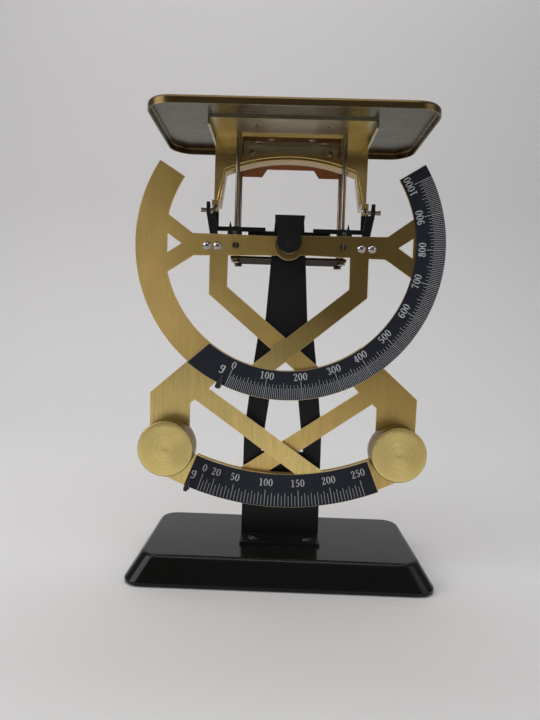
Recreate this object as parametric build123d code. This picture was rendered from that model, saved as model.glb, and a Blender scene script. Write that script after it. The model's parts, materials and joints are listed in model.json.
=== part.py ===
from build123d import *
import math
import os

os.makedirs("parts", exist_ok=True)

# All sizes are in millimetres. The front is -Y and the floor is z = 0.
# Drawings of upright sheets use x and the height above the axle.
AXLE_HEIGHT = 182.0
AXLE_RADIUS = 1.5
RUNNING_FIT = 0.05
SLIDING_FIT = 0.08

# Layers from front to back
EAR_FRONT = -23.0
COLUMN_SHEET = 1.5
COLUMN_FRONT = -10.6
SECTOR_SHEET = 1.2
RIGHT_FRONT = -18.6
LEFT_FRONT = -14.6
SCALE_SHEET = 0.6
BLADE_FRONT = -20.2
BLADE_SHEET = 0.6
TAB_SHEET = 0.8
STUD_BACK = -7.0
LOAD_ARM_FRONT = -8.6
GUIDE_FRONT = -6.5
GUIDE_BACK = -1.0
YOKE_FRONT = -0.4

# Sector outline
RING_INNER = 69.5
RING_OUTER = 86.0
RING_END = 122.0
ARC_INNER = 127.6
ARC_OUTER = 146.5
ARC_END = 22.0
HUB_RADIUS = 8.0
BUSH_RADIUS = 3.2
DISC_REACH = 129.2
DISC_ANGLE = -29.3
DISC_RADIUS = 15.1
DISC_LENGTH = 14.0
SCALE_INSET = 0.3

# Load path
STUD_RADIUS = 1.2
STUD_X = 30.4
STUD_Z = 7.0
LOAD_GAP = 0.35
LOAD_ARM_INNER = 13.5
LOAD_ARM_SHEET = 1.6

# Pan carrier
PAN_LENGTH = 150.0
PAN_DEPTH = 82.0
PAN_Y = -9.0
PAN_CORNER = 14.0
PAN_SHEET = 0.8
PAN_UNDER = 66.7
PAN_RIM = 62.9
BRACKET_HALF = 45.7
BRACKET_FRONT = -25.0
BRACKET_BACK = 22.0
CARRIER_SHEET = 1.2
YOKE_HALF = 44.1
YOKE_BACK = 7.6
ROD_RADIUS = 1.2
ROD_X = 30.5
ROD_FRONT_Y = -3.8
ROD_REAR_Y = 18.0
CROSS_UNDER = -6.5
CROSS_SHEET = 1.5
GUIDE_UNDER = 5.0
GUIDE_SHEET = 1.5
GUIDE_HALF = 36.2

# Base
BASE_LENGTH = 164.0
BASE_DEPTH = 78.0
BASE_TOP_LENGTH = 147.0
BASE_TOP_DEPTH = 71.0
BASE_Y = -9.0
BASE_TOP = 16.0
BASE_EDGE = 1.0
BASE_SLOPE_START = 2.5
BASE_WALL = 2.0
PLATE_UNDER = 2.5
PLATE_SHEET = 1.5
FOOT_RADIUS = 5.0
FOOT_X = 66.0
FOOT_Y = 27.0


def polar(radius, angle):
    """Point at an angle from straight down, counted towards +X."""
    turn = math.radians(angle)
    return (radius * math.sin(turn), -radius * math.cos(turn))


def outline(*points):
    """Closed flat face through straight edges."""
    return make_face(Polyline(*points, close=True))


def ring_face(inner, outer, start, end):
    """Part of a flat ring between two angles."""
    middle = (start + end) / 2
    edges = [
        ThreePointArc(polar(inner, start), polar(inner, middle), polar(inner, end)),
        Line(polar(inner, end), polar(outer, end)),
        ThreePointArc(polar(outer, end), polar(outer, middle), polar(outer, start)),
        Line(polar(outer, start), polar(inner, start)),
    ]
    return make_face(edges)


def upright(face, front, thickness):
    """Stand a drawing up as a sheet whose front lies at y = front."""
    sheet = extrude(face, amount=thickness, dir=(0, 0, 1))
    return Pos(0, front + thickness, AXLE_HEIGHT) * (Rot(90, 0, 0) * sheet)


def flat(face, under, thickness):
    """Lay a drawing of x and y down as a plate at a height above the axle."""
    plate = extrude(face, amount=thickness, dir=(0, 0, 1))
    return Pos(0, 0, AXLE_HEIGHT + under) * plate


def block(x0, x1, y0, y1, z0, z1):
    """Rectangular block between absolute coordinates."""
    size = Box(x1 - x0, y1 - y0, z1 - z0)
    return Pos((x0 + x1) / 2, (y0 + y1) / 2, (z0 + z1) / 2) * size


def arm_block(x0, x1, y0, y1, z0, z1):
    """Rectangular block with its heights counted from the axle."""
    return block(x0, x1, y0, y1, AXLE_HEIGHT + z0, AXLE_HEIGHT + z1)


def cylinder_y(x, z, radius, front, length):
    """Round bar along Y, its height counted from the axle."""
    bar = Rot(90, 0, 0) * Cylinder(radius, length)
    return Pos(x, front + length / 2, AXLE_HEIGHT + z) * bar


def cylinder_x(left, length, radius, y, z):
    """Round bar along X, its height counted from the axle."""
    bar = Rot(0, 90, 0) * Cylinder(radius, length)
    return Pos(left + length / 2, y, AXLE_HEIGHT + z) * bar


def cylinder_z(x, y, radius, bottom, top):
    """Round bar along Z between absolute heights."""
    return Pos(x, y, (bottom + top) / 2) * Cylinder(radius, top - bottom)


def dome(radius, height):
    """Round cap that stands on the XY plane."""
    ball = (radius * radius + height * height) / (2 * height)
    cap = Pos(0, 0, height - ball) * Sphere(ball)
    return cap & (Pos(0, 0, height / 2) * Cylinder(radius + 1, height))


def domed_rivet_y(x, z, front, grip, shank, head, height, tail=0.3):
    """Rivet along Y with a domed head in front of the sheets it holds."""
    cap = Pos(x, front, AXLE_HEIGHT + z) * (Rot(90, 0, 0) * dome(head, height))
    body = cylinder_y(x, z, shank, front, grip)
    foot = cylinder_y(x, z, shank + 0.4, front + grip, tail)
    return cap + body + foot


def rivet_z(x, y, bottom, grip, shank, head, height):
    """Rivet along Z with a domed head under the sheets it holds."""
    cap = Pos(x, y, bottom) * (Rot(180, 0, 0) * dome(head, height))
    return cap + cylinder_z(x, y, shank, bottom, bottom + grip)


def slotted_screw_y(x, z, front, grip, shank, head, height):
    """Screw along Y with a slotted flat head in front."""
    top = cylinder_y(x, z, head, front - height, height)
    slot = arm_block(x - head, x + head, front - height - 0.1, front - height / 2, z - 0.3, z + 0.3)
    return top - slot + cylinder_y(x, z, shank, front, grip)


def hex_nut(radius, height, bore):
    """Six-sided nut standing on the XY plane."""
    nut = extrude(RegularPolygon(radius, 6), amount=height)
    return nut - Pos(0, 0, height / 2) * Cylinder(bore, height + 1)


def mirrored(shape):
    """Copy on the other side of the middle plane."""
    return mirror(shape, about=Plane.YZ)


def save(name, solids):
    """Write one node from its list of solids, moved so that the pan's centre is at y = 0."""
    bodies = []
    for item in solids:
        bodies.extend(Pos(0, -PAN_Y, 0) * solid for solid in item.solids())
    node = bodies[0] if len(bodies) == 1 else Compound(children=bodies)
    export_step(node, "parts/" + name + ".step")


# Sector sheets: hub, arm with a forked end, leg, reading ring, bar and lower arc
CUT_INNER = (-42.7, -55.2)
CUT_OUTER = (-75.0, -83.7)


def cut_away():
    """Area beyond the ring's slanted end."""
    return outline((-26.55, -40.95), (-91.15, -97.95), (-125.0, -60.0), (-60.0, -10.0))


def weight_plate():
    """Corner plate that carries the weight and joins ring and lower arc."""
    edges = [
        Line(CUT_INNER, CUT_OUTER),
        Line(CUT_OUTER, (-74.6, -116.0)),
        Line((-74.6, -116.0), polar(ARC_OUTER, -28.5)),
        ThreePointArc(polar(ARC_OUTER, -28.5), polar(ARC_OUTER, -25.2), polar(ARC_OUTER, -22.0)),
        Line(polar(ARC_OUTER, -22.0), (-52.3, -116.4)),
        Line((-52.3, -116.4), (-52.4, -89.3)),
        Line((-52.4, -89.3), (-49.8, -87.1)),
        Line((-49.8, -87.1), (-42.1, -80.7)),
        Line((-42.1, -80.7), (-39.1, -77.6)),
        Line((-39.1, -77.6), (-36.5, -72.0)),
        Line((-36.5, -72.0), CUT_INNER),
    ]
    return make_face(edges)


def sector_face():
    """Outline of the right sector's sheet."""
    face = ring_face(RING_INNER, RING_OUTER, -45.0, RING_END) - cut_away()
    face += weight_plate()
    face += outline((-47.1, -77.3), (25.6, -127.2), (10.2, -129.1), (-52.8, -85.0))
    face += ring_face(ARC_INNER, ARC_OUTER, -24.5, ARC_END)
    face += outline((0, -5.2), (53.2, -6.5), (70.6, -18.1), (71.0, 18.4), (53.9, 5.9), (0, 5.2))
    face += outline(
        (33.8, 0), (44.1, 0), (44.1, -27.9), (-7.3, -70.7), (-20.4, -68.2), (33.9, -23.4)
    )
    face += Circle(HUB_RADIUS)
    face -= outline((68.0, 5.3), (60.1, 0), (68.0, -5.3))
    return face


DISC_X, DISC_Z = polar(DISC_REACH, DISC_ANGLE)
TRIM_RIVETS = [(40.0, -0.9), (45.8, -0.9)]
LUG_SCREW = (29.7, -0.3)
RIVET_SHANK = 1.2
LUG_SHANK = 1.0
DISC_SHANK = 1.5
TRIM_Z = 19.0
TRIM_RADIUS = 1.1


def sector_plate(front):
    """Right-hand sector sheet with the holes for what it carries."""
    plate = upright(sector_face(), front, SECTOR_SHEET)
    plate -= cylinder_y(0, 0, BUSH_RADIUS, front - 1, SECTOR_SHEET + 2)
    plate -= cylinder_y(DISC_X, DISC_Z, DISC_SHANK, front - 1, SECTOR_SHEET + 2)
    plate -= cylinder_y(*LUG_SCREW, LUG_SHANK, front - 1, SECTOR_SHEET + 2)
    for x, z in TRIM_RIVETS:
        plate -= cylinder_y(x, z, RIVET_SHANK, front - 1, SECTOR_SHEET + 2)
    return plate


def weight_disc(front):
    """Turned weight with a chamfered rim and a plain face."""
    disc = cylinder_y(DISC_X, DISC_Z, DISC_RADIUS, front - DISC_LENGTH, DISC_LENGTH)
    disc = chamfer(disc.edges().filter_by(GeomType.CIRCLE).group_by(Axis.Y)[0], 0.8)
    disc -= cylinder_y(DISC_X, DISC_Z, DISC_SHANK, front - 6, 7)
    return disc


def weight_screw(front):
    """Screw from behind the sheet into the weight."""
    back = front + SECTOR_SHEET
    shank = cylinder_y(DISC_X, DISC_Z, DISC_SHANK, front - 6, 6 + SECTOR_SHEET)
    head = cylinder_y(DISC_X, DISC_Z, 3.0, back, 1.0)
    slot = arm_block(DISC_X - 3.1, DISC_X + 3.1, back + 0.5, back + 1.1, DISC_Z - 0.4, DISC_Z + 0.4)
    return shank + head - slot


def trim_bracket(front):
    """Small ear behind the arm that carries the trim screw."""
    back = front + SECTOR_SHEET
    shape = outline(
        (38.0, -4.5), (48.0, -4.5), (48.0, 5.0), (44.5, 6.0), (46.6, 17.0), (46.8, 23.7),
        (44.8, 23.7), (44.3, 17.3), (41.8, 17.3), (40.0, 6.0), (38.0, 5.0),
    )
    ear = upright(shape, back, CARRIER_SHEET)
    ear += cylinder_x(44.5, 2.2, 1.6, back + CARRIER_SHEET / 2, TRIM_Z)
    ear -= cylinder_x(40.0, 12.0, TRIM_RADIUS, back + CARRIER_SHEET / 2, TRIM_Z)
    for x, z in TRIM_RIVETS:
        ear -= cylinder_y(x, z, RIVET_SHANK, back - 1, CARRIER_SHEET + 2)
    return ear


def trim_rivets(front):
    """Two domed rivets through arm and ear."""
    grip = SECTOR_SHEET + CARRIER_SHEET
    return [domed_rivet_y(x, z, front, grip, RIVET_SHANK, 2.4, 1.1) for x, z in TRIM_RIVETS]


def trim_screw(front):
    """Fine slotted screw that shifts the zero."""
    y = front + SECTOR_SHEET + CARRIER_SHEET / 2
    screw = cylinder_x(42.6, 7.0, TRIM_RADIUS, y, TRIM_Z)
    screw += cylinder_x(48.4, 1.4, 1.25, y, TRIM_Z)
    return screw - arm_block(49.2, 50.0, y - 2, y + 2, TRIM_Z - 0.25, TRIM_Z + 0.25)


def load_lug(front):
    """Lug behind the arm that holds the load stud."""
    back = front + SECTOR_SHEET
    shape = outline((26.5, -4.0), (33.0, -4.0), (33.0, 4.0), (34.5, 5.5), (34.5, 9.3), (26.5, 9.3))
    lug = upright(shape, back, CARRIER_SHEET)
    lug -= cylinder_y(STUD_X, STUD_Z, STUD_RADIUS, back - 1, CARRIER_SHEET + 2)
    return lug - cylinder_y(*LUG_SCREW, LUG_SHANK, back - 1, CARRIER_SHEET + 2)


def load_stud(front):
    """Stud that reaches back under the load arm."""
    back = front + SECTOR_SHEET
    return cylinder_y(STUD_X, STUD_Z, STUD_RADIUS, back, STUD_BACK - back)


def load_lug_screw(front):
    """Slotted screw through arm and lug."""
    grip = SECTOR_SHEET + CARRIER_SHEET + 0.3
    return slotted_screw_y(*LUG_SCREW, front, grip, LUG_SHANK, 1.9, 0.9)


# Right sector
BUSH_BORE = AXLE_RADIUS + RUNNING_FIT
bush_right = cylinder_y(0, 0, BUSH_RADIUS, -21.2, 5.0)
bush_right += cylinder_y(0, 0, 5.0, RIGHT_FRONT - 0.8, 0.8)
bush_right -= cylinder_y(0, 0, BUSH_BORE, -25, 20)
upper_scale = ring_face(RING_INNER + SCALE_INSET, RING_OUTER - SCALE_INSET, -45.0, RING_END - 0.3)
upper_scale -= Pos(SCALE_INSET, -SCALE_INSET) * cut_away()
lower_scale = ring_face(ARC_INNER + SCALE_INSET, ARC_OUTER - SCALE_INSET, -ARC_END, ARC_END - 0.2)
save("sector_plate_right", [sector_plate(RIGHT_FRONT)])
save("upper_scale_plate", [upright(upper_scale, RIGHT_FRONT - SCALE_SHEET, SCALE_SHEET)])
save("lower_scale_plate", [upright(lower_scale, RIGHT_FRONT - SCALE_SHEET, SCALE_SHEET)])
save("hub_bush_right", [bush_right])
save("weight_disc_right", [weight_disc(RIGHT_FRONT)])
save("weight_screw_right", [weight_screw(RIGHT_FRONT)])
save("trim_bracket_right", [trim_bracket(RIGHT_FRONT)])
save("trim_rivets_right", trim_rivets(RIGHT_FRONT))
save("trim_screw_right", [trim_screw(RIGHT_FRONT)])
save("load_lug_right", [load_lug(RIGHT_FRONT)])
save("load_stud_right", [load_stud(RIGHT_FRONT)])
save("load_lug_screw_right", [load_lug_screw(RIGHT_FRONT)])

# Left sector: the mirror image, one layer further back
bush_left = cylinder_y(0, 0, BUSH_RADIUS, -15.8, 4.9)
bush_left += cylinder_y(0, 0, 5.0, LEFT_FRONT + SECTOR_SHEET, 0.8)
bush_left -= cylinder_y(0, 0, BUSH_BORE, -25, 20)
save("sector_plate_left", [mirrored(sector_plate(LEFT_FRONT))])
save("hub_bush_left", [bush_left])
save("weight_disc_left", [mirrored(weight_disc(LEFT_FRONT))])
save("weight_screw_left", [mirrored(weight_screw(LEFT_FRONT))])
save("trim_bracket_left", [mirrored(trim_bracket(LEFT_FRONT))])
save("trim_rivets_left", [mirrored(rivet) for rivet in trim_rivets(LEFT_FRONT)])
save("trim_screw_left", [mirrored(trim_screw(LEFT_FRONT))])
save("load_lug_left", [mirrored(load_lug(LEFT_FRONT))])
save("load_stud_left", [mirrored(load_stud(LEFT_FRONT))])
save("load_lug_screw_left", [mirrored(load_lug_screw(LEFT_FRONT))])


def index_pointer(angle, rod_reach, tab_inner, tab_outer, blade_tip):
    """Tab on the left sheet, post past the right sheet's edge, and reading blade."""
    tab = outline(
        (-2.2, -tab_inner), (2.2, -tab_inner), (1.6, -tab_outer), (-1.6, -tab_outer)
    )
    blade = outline(
        (-0.25, -blade_tip), (0.25, -blade_tip), (1.3, 0.8 - rod_reach),
        (1.0, -rod_reach - 1.0), (-1.0, -rod_reach - 1.0), (-1.3, 0.8 - rod_reach),
    )
    pointer = upright(Rot(0, 0, angle) * tab, LEFT_FRONT - TAB_SHEET, TAB_SHEET)
    pointer += upright(Rot(0, 0, angle) * blade, BLADE_FRONT, BLADE_SHEET)
    x, z = polar(rod_reach, angle)
    return pointer + cylinder_y(x, z, 1.0, BLADE_FRONT, LEFT_FRONT - BLADE_FRONT)


save("upper_index", [index_pointer(-25.3, RING_OUTER + 1.6, 78.5, 88.9, 80.6)])
save("lower_index", [index_pointer(-21.3, ARC_OUTER + 1.5, 139.0, 149.3, 140.8)])

# Column: one bent sheet with a roof and a front ear
half_profile = [
    (8.1, 15.5), (9.9, -9.0), (11.9, -41.0), (16.0, -51.5), (17.7, -64.5),
    (20.0, -85.4), (21.8, -102.0), (22.2, -107.0), (22.2, BASE_TOP - AXLE_HEIGHT),
]
column_face = outline(*half_profile, *[(-x, z) for x, z in reversed(half_profile)])
gap_edges = [
    ThreePointArc((-4.7, -60.5), (0, -56.6), (4.7, -60.5)),
    Line((4.7, -60.5), (8.35, -87.0)),
    Line((8.35, -87.0), (12.0, -116.5)),
    Line((12.0, -116.5), (-12.0, -116.5)),
    Line((-12.0, -116.5), (-8.35, -87.0)),
    Line((-8.35, -87.0), (-4.7, -60.5)),
]
column_face -= make_face(gap_edges)
ear_edges = [
    Line((-8.1, 15.5), (8.1, 15.5)),
    Line((8.1, 15.5), (6.4, 4.0)),
    ThreePointArc((6.4, 4.0), (0, -4.8), (-6.4, 4.0)),
    Line((-6.4, 4.0), (-8.1, 15.5)),
]
COLUMN_BACK = COLUMN_FRONT + COLUMN_SHEET
FLANGE_FRONT = -25.0
COLUMN_SCREWS = [(-15.0, -18.0), (15.0, -18.0)]
GUIDE_RIVETS = [(-4.4, 10.4), (4.4, 10.4)]
column = upright(column_face, COLUMN_FRONT, COLUMN_SHEET)
column += upright(make_face(ear_edges), EAR_FRONT, COLUMN_SHEET)
column += arm_block(-8.1, 8.1, EAR_FRONT, COLUMN_BACK, 15.5 - COLUMN_SHEET, 15.5)
column += block(-22.2, 22.2, FLANGE_FRONT, COLUMN_BACK, BASE_TOP, BASE_TOP + COLUMN_SHEET)
column -= cylinder_y(0, 0, AXLE_RADIUS, EAR_FRONT - 1, 20)
for x, y in COLUMN_SCREWS:
    column -= cylinder_z(x, y, 1.5, BASE_TOP - 1, BASE_TOP + 5)
for x, z in GUIDE_RIVETS:
    column -= cylinder_y(x, z, 1.0, COLUMN_FRONT - 1, COLUMN_SHEET + 2)
save("column", [column])

NUT_HEIGHT = 2.3
axle_back = COLUMN_BACK + NUT_HEIGHT
save("main_axle", [cylinder_y(0, 0, AXLE_RADIUS, EAR_FRONT, axle_back - EAR_FRONT)])
nut = Rot(-90, 0, 0) * hex_nut(3.1, NUT_HEIGHT, AXLE_RADIUS)
save("axle_nut", [Pos(0, COLUMN_BACK, AXLE_HEIGHT) * nut])

column_screws = []
column_nuts = []
for x, y in COLUMN_SCREWS:
    screw = cylinder_z(x, y, 1.5, BASE_TOP - 7, BASE_TOP + COLUMN_SHEET)
    screw += Pos(x, y, BASE_TOP + COLUMN_SHEET) * dome(3.0, 1.8)
    slot_top = BASE_TOP + COLUMN_SHEET + 2
    screw -= block(x - 3.1, x + 3.1, y - 0.4, y + 0.4, slot_top - 1.1, slot_top)
    column_screws.append(screw)
    under = BASE_TOP - BASE_WALL - NUT_HEIGHT
    column_nuts.append(Pos(x, y, under) * hex_nut(3.3, NUT_HEIGHT, 1.5))
save("column_screws", column_screws)
save("column_nuts", column_nuts)

# Guide plate: neck and tab on the column, collars round the front rods
GUIDE_TOP = GUIDE_UNDER + GUIDE_SHEET
guide_face = outline(
    (-GUIDE_HALF, GUIDE_FRONT), (-7.5, GUIDE_FRONT), (-7.5, COLUMN_BACK), (7.5, COLUMN_BACK),
    (7.5, GUIDE_FRONT), (GUIDE_HALF, GUIDE_FRONT), (GUIDE_HALF, GUIDE_BACK), (-GUIDE_HALF, GUIDE_BACK),
)
guide = flat(guide_face, GUIDE_UNDER, GUIDE_SHEET)
guide += arm_block(-7.5, 7.5, COLUMN_BACK, COLUMN_BACK + 1.2, GUIDE_UNDER, 13.2)
guide += arm_block(-23.5, 23.5, GUIDE_FRONT, GUIDE_FRONT + 1.0, GUIDE_UNDER, 9.4)
for side in (-1, 1):
    lug = outline((31.6 * side, GUIDE_TOP - 0.5), (36.2 * side, GUIDE_TOP - 0.5), (34.2 * side, 15.5))
    guide += upright(lug, GUIDE_BACK - 1.0, 1.0)
    collar_top = AXLE_HEIGHT + 11.7
    guide += cylinder_z(ROD_X * side, ROD_FRONT_Y, 2.6, AXLE_HEIGHT + GUIDE_UNDER, collar_top)
for side in (-1, 1):
    bore = ROD_RADIUS + SLIDING_FIT
    guide -= cylinder_z(ROD_X * side, ROD_FRONT_Y, bore, AXLE_HEIGHT, AXLE_HEIGHT + 20)
for x, z in GUIDE_RIVETS:
    guide -= cylinder_y(x, z, 1.0, COLUMN_BACK - 1, 4)
save("guide_plate", [guide])
guide_grip = COLUMN_SHEET + 1.2
save("guide_plate_rivets", [
    domed_rivet_y(x, z, COLUMN_FRONT, guide_grip, 1.0, 1.7, 0.6) for x, z in GUIDE_RIVETS
])

# Pan: flat sheet with a rim turned down
PAN_TOP = PAN_UNDER + PAN_SHEET
pan_outer = extrude(RectangleRounded(PAN_LENGTH, PAN_DEPTH, PAN_CORNER), amount=PAN_TOP - PAN_RIM)
pan_outer = fillet(pan_outer.edges().group_by(Axis.Z)[-1], 1.8)
pan_inner = extrude(
    RectangleRounded(PAN_LENGTH - 2 * PAN_SHEET, PAN_DEPTH - 2 * PAN_SHEET, PAN_CORNER - PAN_SHEET),
    amount=PAN_UNDER - PAN_RIM,
)
pan_inner = fillet(pan_inner.edges().group_by(Axis.Z)[-1], 1.0)
pan = Pos(0, PAN_Y, AXLE_HEIGHT + PAN_RIM) * (pan_outer - pan_inner)
PAN_RIVETS = [(-20.0, -14.0), (20.0, -14.0), (-20.0, 14.0), (20.0, 14.0)]
YOKE_RIVETS = [(-36.0, 4.4), (-12.0, 4.4), (12.0, 4.4), (36.0, 4.4)]
PANEL_RIVETS = [(-24.0, 62.2), (24.0, 62.2)]
for x, y in PAN_RIVETS:
    pan -= cylinder_z(x, y, 1.2, AXLE_HEIGHT + 60, AXLE_HEIGHT + 70)
save("pan", [pan])

# Bracket under the pan, with turned-down sides and rear edge
BRACKET_UNDER = PAN_UNDER - CARRIER_SHEET
bracket = arm_block(
    -BRACKET_HALF, BRACKET_HALF, BRACKET_FRONT, BRACKET_BACK, BRACKET_UNDER, PAN_UNDER
)
for side in (-1, 1):
    x0 = min(side * (BRACKET_HALF - CARRIER_SHEET), side * BRACKET_HALF)
    bracket += arm_block(x0, x0 + CARRIER_SHEET, BRACKET_FRONT, BRACKET_BACK, 62.0, PAN_UNDER)
bracket += arm_block(-31.2, 31.2, BRACKET_BACK - CARRIER_SHEET, BRACKET_BACK, 59.5, PAN_UNDER)
for x, y in PAN_RIVETS + YOKE_RIVETS:
    bracket -= cylinder_z(x, y, 1.2, AXLE_HEIGHT + 60, AXLE_HEIGHT + 70)
RODS = [(-ROD_X, ROD_FRONT_Y), (ROD_X, ROD_FRONT_Y), (-ROD_X, ROD_REAR_Y), (ROD_X, ROD_REAR_Y)]
for x, y in RODS:
    bracket -= cylinder_z(x, y, ROD_RADIUS, AXLE_HEIGHT + 60, AXLE_HEIGHT + 70)
for x, z in PANEL_RIVETS:
    bracket -= cylinder_y(x, z, 1.0, BRACKET_BACK - 3, 5)
save("pan_bracket", [bracket])
pan_grip = CARRIER_SHEET + PAN_SHEET
bracket_under = AXLE_HEIGHT + BRACKET_UNDER
save("pan_rivets", [rivet_z(x, y, bracket_under, pan_grip, 1.2, 2.2, 0.8) for x, y in PAN_RIVETS])

panel_face = outline(
    (-31.2, 65.5), (-31.2, 47.4), (-17.5, 47.4), (-14.3, 52.1),
    (14.3, 52.1), (17.5, 47.4), (31.2, 47.4), (31.2, 65.5),
)
panel = upright(panel_face, BRACKET_BACK, 1.0)
for x, z in PANEL_RIVETS:
    panel -= cylinder_y(x, z, 1.0, BRACKET_BACK - 1, 3)
save("rear_panel", [panel])
panel_front = BRACKET_BACK - CARRIER_SHEET
panel_grip = CARRIER_SHEET + 1.0
save("rear_panel_rivets", [
    domed_rivet_y(x, z, panel_front, panel_grip, 1.0, 1.7, 0.6) for x, z in PANEL_RIVETS
])

# Yoke: arched front plate with flanges bent back and a foot on each leg
ARCH_RADIUS = 98.0
ARCH_CREST = 51.0
ARCH_END_X = 37.6
ARCH_END_Z = ARCH_CREST - ARCH_RADIUS + math.sqrt(ARCH_RADIUS**2 - ARCH_END_X**2)
LEG_INNER = 40.5
LEG_BOTTOM = 24.0
WINDOW_HALF = 29.0
WINDOW_CREST = 55.2
WINDOW_SIDE = 52.6


def arch_opening(margin):
    """Area under the arch, grown by a margin."""
    crest = ARCH_CREST + margin
    shoulder_x = ARCH_END_X + margin
    shoulder_z = ARCH_END_Z + margin / 2
    foot_x = LEG_INNER + margin
    edges = [
        ThreePointArc((-shoulder_x, shoulder_z), (0, crest), (shoulder_x, shoulder_z)),
        Line((shoulder_x, shoulder_z), (foot_x, LEG_BOTTOM - 1)),
        Line((foot_x, LEG_BOTTOM - 1), (-foot_x, LEG_BOTTOM - 1)),
        Line((-foot_x, LEG_BOTTOM - 1), (-shoulder_x, shoulder_z)),
    ]
    return make_face(edges)


yoke_front = outline(
    (-YOKE_HALF, BRACKET_UNDER), (-YOKE_HALF, LEG_BOTTOM),
    (YOKE_HALF, LEG_BOTTOM), (YOKE_HALF, BRACKET_UNDER),
)
window_top = BRACKET_UNDER - CARRIER_SHEET
window_edges = [
    ThreePointArc((-WINDOW_HALF, WINDOW_SIDE), (0, WINDOW_CREST), (WINDOW_HALF, WINDOW_SIDE)),
    Line((WINDOW_HALF, WINDOW_SIDE), (WINDOW_HALF, window_top)),
    Line((WINDOW_HALF, window_top), (-WINDOW_HALF, window_top)),
    Line((-WINDOW_HALF, window_top), (-WINDOW_HALF, WINDOW_SIDE)),
]
yoke_front -= make_face(window_edges)
flange_band = outline(
    (-YOKE_HALF + 0.1, 60.0), (-YOKE_HALF + 0.1, LEG_BOTTOM),
    (YOKE_HALF - 0.1, LEG_BOTTOM), (YOKE_HALF - 0.1, 60.0),
)
yoke_flange = (flange_band & arch_opening(CARRIER_SHEET)) - arch_opening(0)
yoke = upright(yoke_front - arch_opening(0), YOKE_FRONT, CARRIER_SHEET)
yoke += upright(yoke_flange, YOKE_FRONT, YOKE_BACK - YOKE_FRONT)
yoke += arm_block(
    -YOKE_HALF, YOKE_HALF, YOKE_FRONT, YOKE_BACK, BRACKET_UNDER - CARRIER_SHEET, BRACKET_UNDER
)
LOAD_BAR_UNDER = STUD_Z + STUD_RADIUS + LOAD_GAP
ARM_RIVET = (42.2, 21.2)
for side in (-1, 1):
    outer = sorted([side * (YOKE_HALF - CARRIER_SHEET), side * YOKE_HALF])
    leg = sorted([side * 40.3, side * YOKE_HALF])
    foot_front = LOAD_ARM_FRONT - LOAD_ARM_SHEET
    yoke += arm_block(*outer, YOKE_FRONT, YOKE_BACK, LEG_BOTTOM, BRACKET_UNDER)
    yoke += arm_block(*leg, foot_front, YOKE_FRONT + CARRIER_SHEET, LEG_BOTTOM, LEG_BOTTOM + 1.5)
    yoke += arm_block(*leg, foot_front, LOAD_ARM_FRONT, 18.6, LEG_BOTTOM + 1.5)
    yoke -= cylinder_y(side * ARM_RIVET[0], ARM_RIVET[1], 1.0, foot_front - 1, 4)
for x, y in YOKE_RIVETS:
    yoke -= cylinder_z(x, y, 1.2, AXLE_HEIGHT + 60, AXLE_HEIGHT + 70)
save("yoke", [yoke])
yoke_grip = 2 * CARRIER_SHEET
yoke_under = AXLE_HEIGHT + BRACKET_UNDER - CARRIER_SHEET
save("yoke_rivets", [rivet_z(x, y, yoke_under, yoke_grip, 1.2, 2.0, 0.7) for x, y in YOKE_RIVETS])


def load_arm():
    """Right-hand arm that presses on the stud."""
    shape = outline(
        (LOAD_ARM_INNER, LOAD_BAR_UNDER), (YOKE_HALF, LOAD_BAR_UNDER), (YOKE_HALF, LEG_BOTTOM),
        (40.3, LEG_BOTTOM), (40.3, LOAD_BAR_UNDER + 2.45), (LOAD_ARM_INNER, LOAD_BAR_UNDER + 2.45),
    )
    arm = upright(shape, LOAD_ARM_FRONT, LOAD_ARM_SHEET)
    return arm - cylinder_y(*ARM_RIVET, 1.0, LOAD_ARM_FRONT - 1, 4)


arm_rivets = []
for side in (-1, 1):
    arm_rivets.append(domed_rivet_y(
        side * ARM_RIVET[0], ARM_RIVET[1], LOAD_ARM_FRONT - LOAD_ARM_SHEET,
        2 * LOAD_ARM_SHEET, 1.0, 1.7, 0.6,
    ))
save("load_arm_right", [load_arm()])
save("load_arm_left", [mirrored(load_arm())])
save("load_arm_rivets", arm_rivets)

# Rods, their lower cross plate and nuts
rod_bottom = AXLE_HEIGHT + CROSS_UNDER - 2.0
rod_top = AXLE_HEIGHT + PAN_UNDER
save("guide_rods_front", [cylinder_z(x, y, ROD_RADIUS, rod_bottom, rod_top) for x, y in RODS[:2]])
save("guide_rods_rear", [cylinder_z(x, y, ROD_RADIUS, rod_bottom, rod_top) for x, y in RODS[2:]])
cross = arm_block(-33.4, 33.4, GUIDE_FRONT, 21.0, CROSS_UNDER, CROSS_UNDER + CROSS_SHEET)
cross = fillet(cross.edges().filter_by(Axis.Z), 2.5)
rod_nuts = []
for x, y in RODS:
    cross -= cylinder_z(x, y, ROD_RADIUS, rod_bottom, rod_bottom + 6)
    rod_nuts.append(Pos(x, y, rod_bottom) * hex_nut(2.3, 2.0, ROD_RADIUS))
save("cross_plate", [cross])
save("rod_nuts", rod_nuts)


def base_body(inset, bottom, top):
    """Solid of the base, drawn in from its outside by an inset."""
    corner = 10.0 - inset
    low = RectangleRounded(BASE_LENGTH - 2 * inset, BASE_DEPTH - 2 * inset, corner)
    high = RectangleRounded(BASE_TOP_LENGTH - 2 * inset, BASE_TOP_DEPTH - 2 * inset, corner)
    band = extrude(low, amount=BASE_SLOPE_START - bottom)
    slope = loft([Pos(0, 0, 0) * low, Pos(0, 0, top - BASE_SLOPE_START) * high])
    return Pos(0, BASE_Y, bottom) * band + Pos(0, BASE_Y, BASE_SLOPE_START) * slope


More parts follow.
